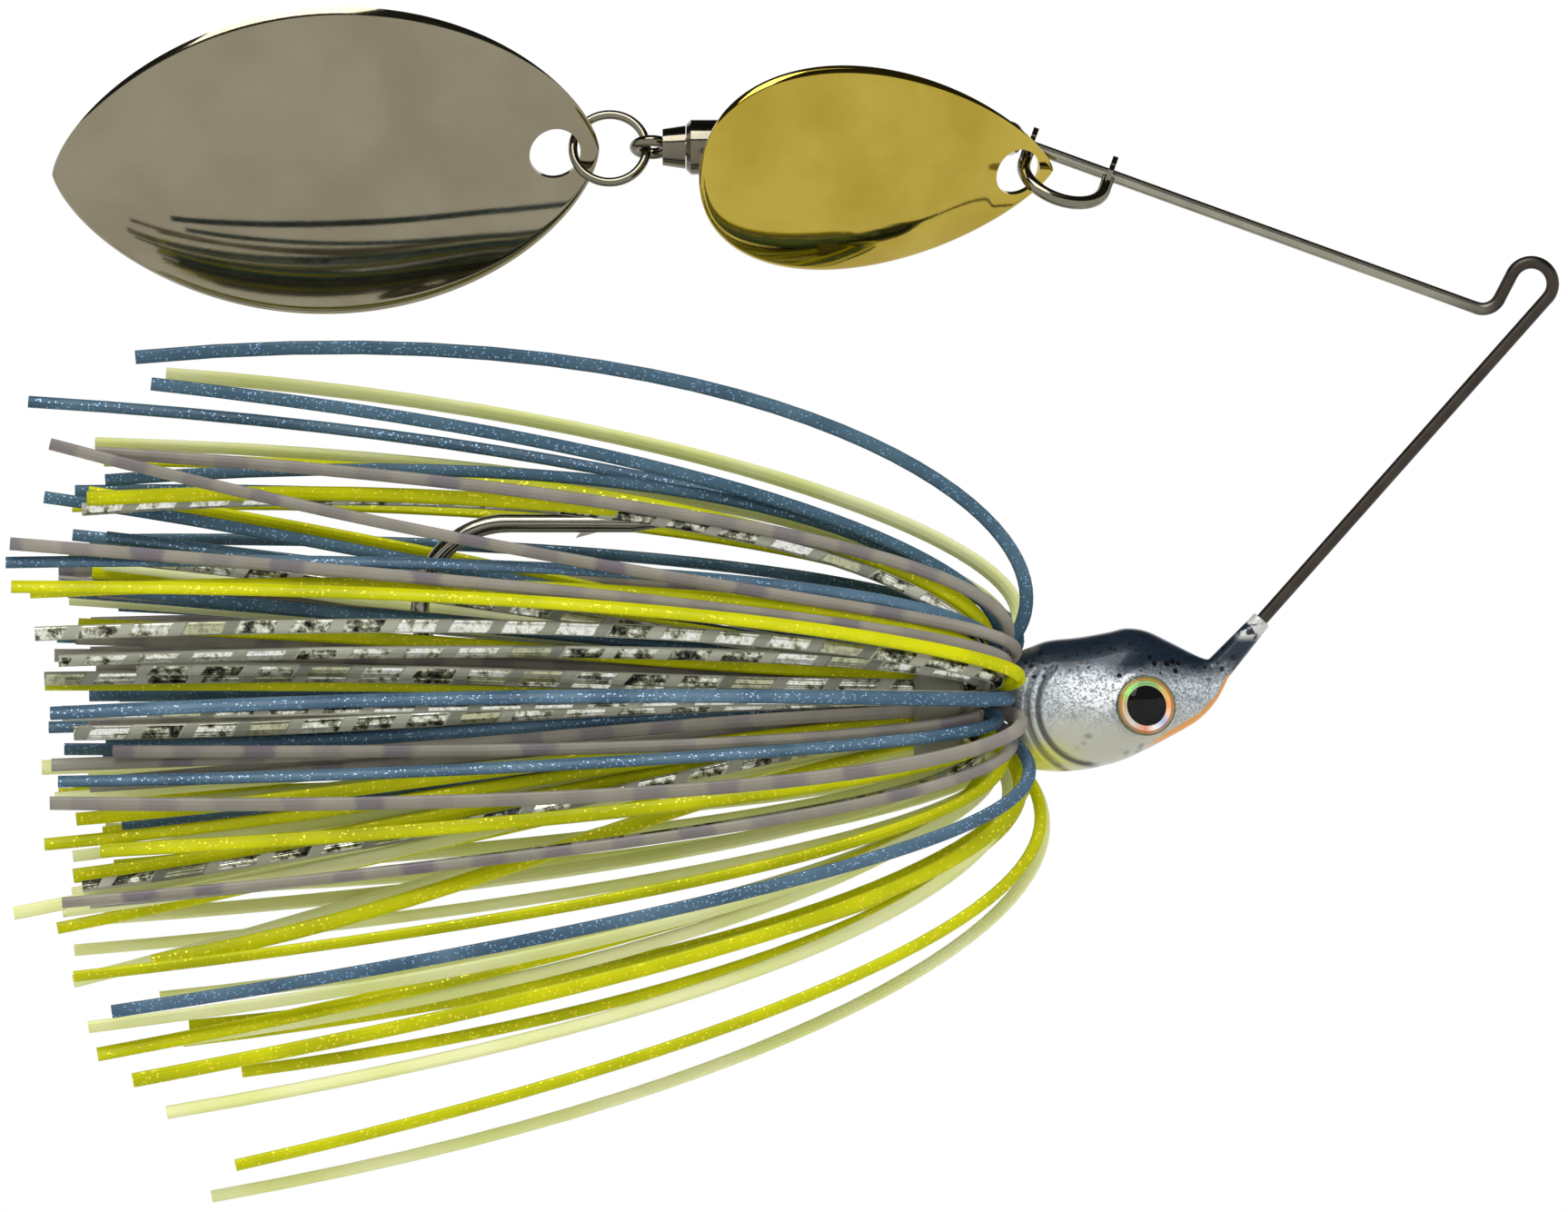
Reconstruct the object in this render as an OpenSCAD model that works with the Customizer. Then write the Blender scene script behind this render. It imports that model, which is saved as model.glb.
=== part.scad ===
// Tandem-blade spinnerbait: a bent wire frame, a painted lead head moulded on the wire
// and hook, a banded silicone skirt, a blade on a clevis and a blade on a swivel.
// X runs forward, Y away from the viewer's side and Z up. The origin is the line tie.

/* [Wire frame] */
// Diameter of the spring wire
wire_d = 0.82; // [0.7:0.02:0.94]
// Centreline radius of the open bend that takes the line
tie_r = 1.4; // [1.2:0.05:1.8]
// Straight leg from the line tie down to the elbow
tie_leg = 1.85; // [1.4:0.05:3]
// Slope of that leg above the horizontal, in degrees
tie_leg_slope = 62.6; // [56:0.2:70]
// Centreline radius of the elbow and the smaller bends
bend_r = 1.2; // [1:0.05:1.5]
// Rise of the upper arm toward the rear, in degrees
arm_rise = 19.9; // [17:0.1:23]
// Straight length of the upper arm
arm_len = 39.5; // [35:0.5:44]
// Downward turn of the wire behind the upper arm, in degrees
arm_end_turn = 38; // [32:1:44]
// Straight run between that turn and the swivel loop
loop_run = 5; // [4:0.25:6]
// Centreline radius of the closed loop that holds the swivel
loop_r = 1.5; // [1.4:0.05:1.8]
// Slope of the lower arm, in degrees
lower_slope = 48.4; // [45:0.2:52]
// Straight length of the lower arm from the line tie to the head
lower_len = 32.8; // [30:0.1:36]

/* [Head] */
// Length of the cast head from its rear face to the nose
head_len = 14.3; // [13:0.1:16]
// Height of the head at its deepest section
head_h = 8.8; // [8:0.1:10]
// Width of the head at its widest section
head_w = 7.5; // [6.6:0.1:8.4]
// Length of the cast sleeve that runs up the wire
sleeve_len = 4.8; // [3.5:0.1:6]
// Diameter of the sleeve where it leaves the nose
sleeve_d = 1.9; // [1.7:0.05:2.4]
// Diameter of the keeper neck behind the head
neck_d = 3; // [2.6:0.1:3.2]
// Depth of the gill grooves
gill_depth = 0.28; // [0.15:0.01:0.4]
// Width of the gill grooves
gill_w = 0.34; // [0.25:0.01:0.5]
// Diameter of the eyes
eye_d = 3.9; // [3.2:0.1:4.4]
// Thickness of the printed eye disc
iris_t = 0.3; // [0.2:0.05:0.4]
// Rise of the clear dome over the eye disc
dome_h = 0.55; // [0.4:0.05:0.9]

/* [Hook] */
// Diameter of the hook wire
hook_d = 1.2; // [1:0.05:1.3]
// Length of the shank from the head's rear face to the bend
shank_len = 32.6; // [28:0.2:38]
// Gap between shank and point, centre to centre
hook_gap = 11.4; // [9:0.1:13]
// Length of the point side in front of the bend
point_len = 11.3; // [8:0.1:14]
// Length of the sharpened taper
taper_len = 3.2; // [2:0.1:5]

/* [Clevis and front blade] */
// Distance along the upper arm from the clevis to the bend at its end
clevis_back = 11.3; // [11.3:0.1:15]
// Distance between the two clevis ears
clevis_w = 5.5; // [5:0.1:6]
// Diameter of the clevis ears
ear_d = 2.6; // [2.2:0.1:2.8]
// Thickness of the clevis ears
ear_t = 0.35; // [0.3:0.05:0.5]
// Diameter of the clevis bow
bow_d = 0.85; // [0.7:0.05:0.95]
// Straight part of the bow beside the wire
bow_leg = 2; // [1.8:0.1:2.6]
// Swing of the bow about the wire from straight down toward the viewer, in degrees
bow_turn = 55; // [0:1:90]
// Length of the front blade
front_len = 24; // [20:0.1:24.4]
// Width of the front blade
front_w = 14.2; // [11:0.1:14.4]
// Depth of the front blade's dish
front_dish = 2.5; // [1:0.1:2.6]
// Turn of the front blade's free end out toward the viewer, in degrees
front_out = 18; // [18:1:26]
// Roll of the front blade's face below the viewer, in degrees
front_roll = 23; // [8:1:23]

/* [Beads] */
// Diameter of the bearing beads behind the clevis
bead_d = 2.3; // [2:0.05:2.4]

/* [Swivel, ring and rear blade] */
// Diameter of the swivel barrel
barrel_d = 3.6; // [3.4:0.1:4]
// Length of the swivel barrel
barrel_len = 5.4; // [5:0.1:6.4]
// Wall of the swivel barrel
barrel_wall = 0.5; // [0.35:0.05:0.55]
// Diameter of the rotating swivel shaft
shaft_d = 1.2; // [1:0.05:1.3]
// Diameter of the swivel's bearing balls
ball_d = 0.56; // [0.5:0.02:0.6]
// Number of bearing balls
ball_n = 8; // [6:1:8]
// Length of the rotating nose in front of the blade eye
nose_len = 1.5; // [1.2:0.1:2]
// Diameter of the ring that carries the rear blade, at the wire's centre
ring_d = 4.8; // [4.4:0.1:5.6]
// Diameter of the ring's wire
ring_wire = 0.6; // [0.5:0.05:0.65]
// Roll of the ring about the swivel's axis, in degrees
ring_roll = 22; // [20:1:30]
// Length of the rear blade
rear_len = 35.6; // [32:0.1:36]
// Width of the rear blade
rear_w = 21; // [17:0.1:21.5]
// Depth of the rear blade's dish
rear_dish = 2.4; // [1:0.1:3]
// Droop of the ring and the rear blade below the swivel's axis, in degrees
rear_droop = 3; // [0:0.5:6]
// Roll of the rear blade about the swivel's axis, in degrees
rear_roll = 20; // [20:1:28]
// Thickness of both blades
blade_t = 0.5; // [0.4:0.05:0.6]

/* [Skirt] */
// Width of a silicone strand
strand_w = 0.95; // [0.7:0.05:1]
// Thickness of a silicone strand
strand_t = 0.42; // [0.3:0.02:0.45]
// Length of the rubber collar
collar_len = 3.2; // [2.6:0.1:3.6]
// Wall of the rubber collar
collar_wall = 0.7; // [0.5:0.05:1]

/* [Hidden] */
$fn = 64;

// Clearances
fit_gap = 0.02;
run_gap = 0.05;
link_gap = 0.12;

// Bent rod, followed as a list of places, each a point and a heading in the XZ plane
bend_grow = 0.02;
bend_lap = 0.05;
function heading(h) = [cos(h), 0, sin(h)];
function port(h) = [-sin(h), 0, cos(h)];
function run(s, d) = [s[0] + d * heading(s[1]), s[1]];
function turn(s, a, r) = [s[0] + sign(a) * r * (port(s[1]) - port(s[1] + a)), s[1] + a];

module rod_run(s, length, d) {
    translate(s[0]) rotate([0, 90 - s[1], 0]) cylinder(d = d, h = length);
}

// A bend is a hair thicker than the rod and laps a little over the straight rods it joins
module rod_turn(s, a, r, d) {
    lap = bend_lap / r * 180 / PI;
    start = s[1] - sign(a) * 90 + (a < 0 ? a : 0);
    translate(s[0] + sign(a) * r * port(s[1]))
        rotate([90, 0, 0])
            rotate([0, 0, start - lap])
                rotate_extrude(angle = abs(a) + 2 * lap)
                    translate([r, 0]) circle(d = d + bend_grow);
}

// Places along the wire, from the line tie to the swivel loop
tie_up = tie_leg_slope + 90;
tie_down = lower_slope - 90;
leg_s = [tie_r * heading(tie_up), tie_leg_slope + 180];
elbow_s = run(leg_s, tie_leg);
elbow_turn = -tie_leg_slope - arm_rise;
arm_s = turn(elbow_s, elbow_turn, bend_r);
arm_end_s = run(arm_s, arm_len);
loop_run_s = turn(arm_end_s, arm_end_turn, bend_r);
loop_s = run(loop_run_s, loop_run);
loop_turn = 310;
loop_c = loop_s[0] + loop_r * port(loop_s[1]);

// Places along the wire, from the line tie into the head
lower_s = [tie_r * heading(tie_down), lower_slope + 180];
nose_s = run(lower_s, lower_len);
inner_s = turn(nose_s, -lower_slope, bend_r);
inner_len = 4.6;
hook_eye_turn_s = run(inner_s, inner_len);
hook_eye_turn_r = 0.9;
hook_eye_s = turn(hook_eye_turn_s, 90, hook_eye_turn_r);
wire_end_len = 1.2;

// Head and hook axis, set from the wire inside the head
hook_eye_d = 1;
axis_drop = hook_eye_d / 2 + wire_d / 2 + 0.24;
nose_back = 0.9;
axis_z = inner_s[0][2] - axis_drop;
head_x = nose_s[0][0] + nose_back - head_len;

// Head sections as shares of its length, height and width: place, top, bottom, half width
head_sections = [
    [0, 0.21, -0.25, 0.24],
    [0.035, 0.32, -0.42, 0.37],
    [0.09, 0.37, -0.505, 0.44],
    [0.18, 0.424, -0.54, 0.48],
    [0.32, 0.45, -0.535, 0.5],
    [0.46, 0.49, -0.49, 0.487],
    [0.54, 0.518, -0.448, 0.463],
    [0.63, 0.499, -0.38, 0.42],
    [0.73, 0.424, -0.295, 0.347],
    [0.87, 0.31, -0.16, 0.22],
    [0.95, 0.262, -0.023, 0.133],
    [1, 0.2, 0.125, 0.053]
];
head_rings = 30;
head_sides = 28;

// Value of column c of a table at v, on a smooth curve through the rows
function row_of(table, v, i = 0) =
    i >= len(table) - 2 || v < table[i + 1][0] ? i : row_of(table, v, i + 1);
function slope_at(table, i, c) =
    let (a = max(i - 1, 0), b = min(i + 1, len(table) - 1))
    (table[b][c] - table[a][c]) / (table[b][0] - table[a][0]);
function smooth(table, v, c) =
    let (
        i = row_of(table, v),
        w = table[i + 1][0] - table[i][0],
        t = (v - table[i][0]) / w,
        m0 = slope_at(table, i, c) * w,
        m1 = slope_at(table, i + 1, c) * w
    )
    (2 * t ^ 3 - 3 * t ^ 2 + 1) * table[i][c] + (t ^ 3 - 2 * t ^ 2 + t) * m0
        + (3 * t ^ 2 - 2 * t ^ 3) * table[i + 1][c] + (t ^ 3 - t ^ 2) * m1;

// Faces of a closed loft of rings with n points each, the first point being number at
function loft_faces(rings, n, at = 0) = [
    for (i = [0 : rings - 2], j = [0 : n - 1])
        let (a = at + i * n + j, b = at + i * n + (j + 1) % n)
        each [[a, b, a + n], [b, b + n, a + n]],
    for (j = [1 : n - 2])
        each [
            [at, at + j + 1, at + j],
            [at + (rings - 1) * n, at + (rings - 1) * n + j, at + (rings - 1) * n + j + 1]
        ]
];

// Head casting
head_row_bias = 0.9;
function head_place(i) = (1 - cos(180 * (i / (head_rings - 1)) ^ head_row_bias)) / 2;
function head_ring(v, inset) =
    let (
        top = head_h * smooth(head_sections, v, 1),
        bottom = head_h * smooth(head_sections, v, 2),
        half_w = max(head_w * smooth(head_sections, v, 3) - inset, 0.05),
        half_h = max((top - bottom) / 2 - inset, 0.05)
    )
    [for (j = [0 : head_sides - 1])
        let (a = -360 * j / head_sides)
        [v * head_len, half_w * cos(a), (top + bottom) / 2 + half_h * sin(a)]];

module head_loft(inset) {
    polyhedron(
        points = [for (i = [0 : head_rings - 1]) each head_ring(head_place(i), inset)],
        faces = loft_faces(head_rings, head_sides),
        convexity = 6
    );
}

// Eye places on the head, as shares of its length and height, and the way they face
eye_place = 0.622;
eye_rise = -0.06;
eye_out = 0.405;
eye_forward = 14;
eye_down = 9;
module at_eye(side) {
    translate([head_x + eye_place * head_len, side * eye_out * head_w, axis_z + eye_rise * head_h])
        rotate([side * -90, 0, 0])
            rotate([side * eye_down, eye_forward, 0])
                children();
}

// Gill grooves: two crescents, at shares of the head's length
gill_places = [[0.5, 0.3], [0.42, 0.31]];
gill_reach = 100;
module gill_grooves() {
    cut = head_w;
    for (g = gill_places)
        translate([g[0] * head_len, cut, -0.03 * head_h])
            rotate([90, 0, 0])
                rotate([0, 0, 180 - gill_reach / 2])
                    rotate_extrude(angle = gill_reach)
                        translate([g[1] * head_len, 0]) square([gill_w, 2 * cut]);
}

// Keeper neck with the ridge that holds the collar on
neck_len = 6.6;
ridge_h = 0.28;
ridge_len = 0.8;
collar_gap = 2.9;
module keeper_neck() {
    neck_r = neck_d / 2;
    buried = 0.06 * head_len;
    rotate([0, -90, 0])
        rotate_extrude()
            polygon([
                [0, -buried], [neck_r, -buried], [neck_r, neck_len - ridge_len - ridge_h],
                [neck_r + ridge_h, neck_len - ridge_len], [neck_r, neck_len], [0, neck_len]
            ]);
}

module head_sleeve() {
    buried = 0.4;
    tip_d = wire_d + 0.44;
    translate((run(lower_s, lower_len + buried))[0])
        rotate([0, 90 - lower_slope, 0])
            cylinder(d1 = sleeve_d, d2 = tip_d, h = sleeve_len + buried);
}

module head() {
    eye_pocket = 2;
    color("lightsteelblue")
        difference() {
            union() {
                translate([head_x, 0, axis_z]) {
                    difference() {
                        head_loft(0);
                        difference() {
                            gill_grooves();
                            head_loft(gill_depth);
                        }
                    }
                    keeper_neck();
                }
                head_sleeve();
            }
            wire_in_head(wire_d + 2 * fit_gap);
            hook_in_head(hook_d + 2 * fit_gap);
            for (side = [-1, 1])
                at_eye(side) cylinder(d = eye_d + 2 * fit_gap, h = eye_pocket);
        }
}

// Eyes: a printed disc in the socket and a clear dome on it
module eye_disc() {
    cylinder(d = eye_d, h = iris_t);
}

module eye_dome() {
    edge = 0.12;
    dome_r = ((eye_d / 2) ^ 2 + dome_h ^ 2) / (2 * dome_h);
    translate([0, 0, iris_t]) {
        cylinder(d = eye_d, h = edge);
        translate([0, 0, edge])
            intersection() {
                translate([0, 0, dome_h - dome_r]) sphere(r = dome_r, $fn = 128);
                cylinder(d = eye_d, h = dome_h + edge);
            }
    }
}

module left_eye_disc() { color("gold") at_eye(-1) eye_disc(); }
module left_eye_dome() { color("black") at_eye(-1) eye_dome(); }
module right_eye_disc() { color("gold") at_eye(1) eye_disc(); }
module right_eye_dome() { color("black") at_eye(1) eye_dome(); }

// Wire frame: the lower arm with its foot inside the head, and the rest
module wire_in_head(d) {
    rod_run(lower_s, lower_len, d);
    rod_turn(nose_s, -lower_slope, bend_r, d);
    rod_run(inner_s, inner_len, d);
    rod_turn(hook_eye_turn_s, 90, hook_eye_turn_r, d);
    rod_run(hook_eye_s, wire_end_len, d);
}

module wire_frame() {
    color("dimgray") {
        rod_turn([leg_s[0], tie_leg_slope], tie_down - tie_up, tie_r, wire_d);
        rod_run(leg_s, tie_leg, wire_d);
        rod_turn(elbow_s, elbow_turn, bend_r, wire_d);
        rod_run(arm_s, arm_len, wire_d);
        rod_turn(arm_end_s, arm_end_turn, bend_r, wire_d);
        rod_run(loop_run_s, loop_run, wire_d);
        rod_turn(loop_s, loop_turn, loop_r, wire_d);
        wire_in_head(wire_d);
    }
}

// Hook, with its eye round the end of the wire inside the head
hook_eye_r = wire_d / 2 + 0.19 + hook_eye_d / 2;
hook_eye_c = [hook_eye_s[0][0], 0, axis_z];
shank_start_x = hook_eye_c[0] - hook_eye_r;
hook_bend_s = [[head_x - shank_len, 0, axis_z], 180];
hook_point_s = turn(hook_bend_s, -180, hook_gap / 2);
point_tip_d = 0.06;
barb_back = 6.4;
barb_len = 1.6;
barb_h = 0.55;

// Small spur raised on the inner side of the point
module hook_barb() {
    start = hook_point_s[0] + [point_len - barb_back, 0, -hook_d * 0.35];
    thick = 0.4;
    translate(start + [0, thick / 2, 0])
        rotate([90, 0, 0])
            linear_extrude(thick)
                polygon([[0, 0], [-barb_len * 0.3, -barb_h], [barb_len, 0]]);
}

module hook_in_head(d) {
    translate(hook_eye_c)
        rotate_extrude() translate([hook_eye_r, 0]) circle(d = hook_eye_d + d - hook_d);
    rod_run([[shank_start_x, 0, axis_z], 180], shank_start_x - hook_bend_s[0][0], d);
}

module hook() {
    straight = point_len - taper_len;
    color("gray") {
        hook_in_head(hook_d);
        rod_turn(hook_bend_s, -180, hook_gap / 2, hook_d);
        rod_run(hook_point_s, straight, hook_d);
        translate(run(hook_point_s, straight)[0])
            rotate([0, 90, 0]) cylinder(d1 = hook_d, d2 = point_tip_d, h = taper_len);
        hook_barb();
    }
}

// Clevis on the upper arm: local Z runs back along the wire and X along the bow
bow_r = clevis_w / 2;
clevis_at = arm_len - clevis_back;
module on_arm(at) {
    translate(run(arm_s, at)[0]) rotate([0, 90 - arm_s[1], 0]) children();
}

module at_clevis() {
    on_arm(clevis_at) rotate([0, 0, 180 + bow_turn]) children();
}

module clevis() {
    leg_start = wire_d / 2 + run_gap + bow_d / 4;
    color("silver")
        at_clevis() {
            for (end = [-1, 1])
                translate([0, 0, end * bow_r]) {
                    difference() {
                        translate([0, 0, -ear_t / 2]) cylinder(d = ear_d, h = ear_t);
                        translate([0, 0, -ear_t]) cylinder(d = wire_d + 2 * run_gap, h = 2 * ear_t);
                    }
                    translate([leg_start, 0, 0])
                        rotate([0, 90, 0]) cylinder(d = bow_d, h = bow_leg - leg_start);
                }
            translate([bow_leg, 0, 0])
                rod_turn([[0, 0, -bow_r], 0], 180, bow_r, bow_d);
        }
}

// Half width of a blade at share v of its length, swelling by a and closing by b
function blade_half(v, w, a, b) =
    let (peak = a / (a + b))
    w / 2 * (v ^ a * (1 - v) ^ b) / (peak ^ a * (1 - peak) ^ b);

blade_rings = 26;
blade_cols = 9;
blade_end = 0.004;
// Dished sheet: length along Z from the hole, width along Y, bulging to +X, with the middle
// of the sheet at X 0 where the hole begins
module blade(length, width, a, b, dish, hole_d, hole_at) {
    function rise(v) = dish * (2 * blade_half(v, width, a, b) / width) ^ 2;
    edge_rise = rise((hole_at - hole_d / 2) / length);
    function ring(i) =
        let (
            v = blade_end + (1 - 2 * blade_end) * (1 - cos(180 * i / (blade_rings - 1))) / 2,
            half = blade_half(v, width, a, b)
        )
        [for (side = [-1, 1], j = [0 : blade_cols - 1])
            let (s = -side * (2 * j / (blade_cols - 1) - 1))
            [rise(v) * (1 - s ^ 2) - edge_rise + side * blade_t / 2, s * half, v * length - hole_at]];
    difference() {
        polyhedron(
            points = [for (i = [0 : blade_rings - 1]) each ring(i)],
            faces = loft_faces(blade_rings, 2 * blade_cols),
            convexity = 4
        );
        translate([-dish - blade_t, 0, 0])
            rotate([0, 90, 0]) cylinder(d = hole_d, h = 2 * (dish + blade_t));
    }
}

front_hole_d = 3;
front_hole_at = 2.6;
front_swell = 0.75;
front_close = 0.44;
front_hang = 45;
bow_dir = cos(bow_turn) * port(arm_s[1]) - [0, sin(bow_turn), 0];
bow_end = run(arm_s, clevis_at + bow_r)[0] + bow_leg * bow_dir;
front_face = cos(front_roll) * [sin(front_out), -cos(front_out), 0] - [0, 0, sin(front_roll)];
// Angle between the bow and the blade's face, and the room the bow needs in the hole
front_lean = acos(front_face * bow_dir);
front_slack = bow_d / 2 / cos(front_lean) + blade_t / 2 * tan(front_lean) + link_gap;
module front_blade() {
    color("goldenrod")
        translate(bow_end)
            rotate([0, 0, front_out])
                rotate([90, 0, -90])
                    rotate([0, 0, -front_roll])
                        translate((front_hole_d / 2 - front_slack) * [0, -sin(front_hang), cos(front_hang)])
                            blade(front_len, front_w, front_swell, front_close, front_dish,
                                front_hole_d, front_hole_at);
}

// Bearing beads between the clevis and the bend at the end of the arm
bead_gap = 0.15;
bead_start = clevis_at + bow_r + max(bow_d, ear_t) / 2 + bead_gap;
module bead(i) {
    flat = 0.42;
    color("silver")
        on_arm(bead_start + (i + 0.5) * bead_d * 2 * flat + i * bead_gap)
            difference() {
                sphere(d = bead_d);
                cylinder(d = wire_d + 2 * run_gap, h = 2 * bead_d, center = true);
                for (end = [-1, 1])
                    translate([0, 0, end * bead_d * (flat + 0.5)])
                        cube(bead_d, center = true);
            }
}

module bead_1() { bead(0); }
module bead_2() { bead(1); }
module bead_3() { bead(2); }

// Swivel: local Z runs back from the wire's loop and X points up
module at_swivel(z = 0) {
    translate(loop_c) rotate([0, -90, 0]) translate([0, 0, z]) children();
}

back_eye_r = 1.1;
back_eye_wire = 0.6;
back_eye_z = loop_r - wire_d / 2 - run_gap + back_eye_r - back_eye_wire / 2;
barrel_z = back_eye_z + back_eye_r + 0.95;
cavity_z = 1;
cavity_len = barrel_len - 2 * cavity_z + 0.2;
cavity_r = barrel_d / 2 - barrel_wall;
stem_d = 1;
head_d = 2 * cavity_r - 0.5;
head_t = 0.7;
ball_gap = 0.03;

// Ring of wire lying in the local YZ plane
module eye_ring(r, d) {
    rotate([0, 90, 0]) rotate_extrude() translate([r, 0]) circle(d = d);
}

module swivel_back_eye() {
    color("silver") {
        at_swivel(back_eye_z) eye_ring(back_eye_r, back_eye_wire);
        at_swivel(back_eye_z + back_eye_r)
            cylinder(d = stem_d, h = barrel_z + cavity_z + head_t / 2 - back_eye_z - back_eye_r);
        at_swivel(barrel_z + cavity_z + fit_gap) cylinder(d = head_d, h = head_t);
    }
}

module swivel_barrel() {
    shoulder = 0.8;
    chamfer = 0.3;
    r = barrel_d / 2;
    back_r = r - 0.6;
    color("gray")
        at_swivel(barrel_z)
            difference() {
                rotate_extrude()
                    polygon([
                        [0, 0], [back_r, 0], [r, shoulder], [r, barrel_len - chamfer],
                        [r - chamfer, barrel_len], [0, barrel_len]
                    ]);
                translate([0, 0, cavity_z]) cylinder(r = cavity_r, h = cavity_len);
                translate([0, 0, -1]) cylinder(d = stem_d + 2 * fit_gap, h = cavity_z + 2);
                translate([0, 0, barrel_len - cavity_z])
                    cylinder(d = shaft_d + 2 * run_gap, h = cavity_z + 1);
            }
}

ball_z = barrel_z + cavity_z + cavity_len - ball_d / 2 - ball_gap;
ball_ring_r = (shaft_d / 2 + cavity_r) / 2;
module swivel_balls() {
    color("white")
        at_swivel(ball_z)
            for (i = [0 : ball_n - 1])
                rotate([0, 0, 360 * i / ball_n])
                    translate([ball_ring_r, 0, 0]) sphere(d = ball_d, $fn = 32);
}

front_eye_r = 1.05;
front_eye_wire = 0.75;
nose_z = barrel_z + barrel_len + run_gap;
front_eye_z = nose_z + nose_len + front_eye_r - front_eye_wire / 2 + 0.05;
module swivel_front_eye() {
    shaft_z = ball_z - ball_d / 2 - ball_gap - head_t;
    nose_back_d = barrel_d - 0.75;
    nose_front_d = barrel_d - 1.2;
    color("silver")
        rotate_about_swivel(ring_roll) {
            at_swivel(shaft_z) cylinder(d = head_d, h = head_t);
            at_swivel(shaft_z + head_t / 2)
                cylinder(d = shaft_d, h = nose_z + nose_len / 2 - shaft_z - head_t / 2);
            at_swivel(nose_z) cylinder(d1 = nose_back_d, d2 = nose_front_d, h = nose_len);
            at_swivel(front_eye_z) eye_ring(front_eye_r, front_eye_wire);
        }
}

module rotate_about_swivel(a) {
    translate(loop_c) rotate([-a, 0, 0]) translate(-loop_c) children();
}

// Turn about the blade side of the front eye, where the ring hangs
module drooped() {
    hang = loop_c - [front_eye_z + front_eye_r, 0, 0];
    rotate_about_swivel(ring_roll)
        translate(hang) rotate([0, -rear_droop, 0]) translate(-hang)
            rotate_about_swivel(-ring_roll) children();
}

ring_r = ring_d / 2;
ring_z = front_eye_z + front_eye_r - front_eye_wire / 2 - ring_wire / 2 - run_gap + ring_r;
module blade_ring() {
    color("silver")
        drooped()
            rotate_about_swivel(ring_roll)
                at_swivel(ring_z)
                    rotate([90, 0, 0]) rotate_extrude() translate([ring_r, 0]) circle(d = ring_wire);
}

rear_hole_d = 3.2;
rear_hole_at = 2.9;
rear_swell = 0.64;
rear_close = 0.68;
module rear_blade() {
    color("gainsboro")
        drooped()
            at_swivel(ring_z + ring_r - ring_wire / 2 - link_gap + rear_hole_d / 2)
                rotate([0, 0, -90 - rear_roll])
                    blade(rear_len, rear_w, rear_swell, rear_close, rear_dish,
                        rear_hole_d, rear_hole_at);
}

// Skirt: strands pass under the collar in three layers, and each has a front tail that
// folds back over the collar and a rear tail
strand_gap = 0.12;
layer_r = [for (k = [0 : 2])
    neck_d / 2 + ridge_h + strand_gap + strand_t / 2 + k * (strand_t + strand_gap)];
collar_front = head_x - collar_gap;
collar_back = collar_front - collar_len;
collar_in = layer_r[2] + strand_t / 2 + strand_gap;
collar_round = 0.3;
squeeze = 0.78;

module skirt_collar() {
    color("black")
        translate([collar_back, 0, axis_z])
            rotate([0, 90, 0])
                rotate_extrude()
                    polygon([
                        [collar_in, 0], [collar_in + collar_wall - collar_round, 0],
                        [collar_in + collar_wall, collar_round],
                        [collar_in + collar_wall, collar_len - collar_round],
                        [collar_in + collar_wall - collar_round, collar_len],
                        [collar_in, collar_len]
                    ]);
}

// Fold of the front tails, per layer: start ahead of the collar, forward and outward pull
fold_start = [1, 0.65, 0.3];
fold_forward = [11, 7.7, 4.6];
fold_out = [5.8, 4.5, 3.2];
// Extra forward and outward pull of the folds under the axis, which sag
sag_forward = [4, 2.6, 1.2];
sag_out = [5, 3.2, 1.4];
// Distance from the middle plane of the front and rear tails, per layer
front_sheet = [8, 7.05, 6.1];
rear_sheet = [3.4, 4.3, 5.2];
sheet_core = 3.2;
sheet_flat = 0.6;
rear_pull = 14;
tail_pull = 20;
front_rings = 14;
rear_rings = 7;

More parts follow.
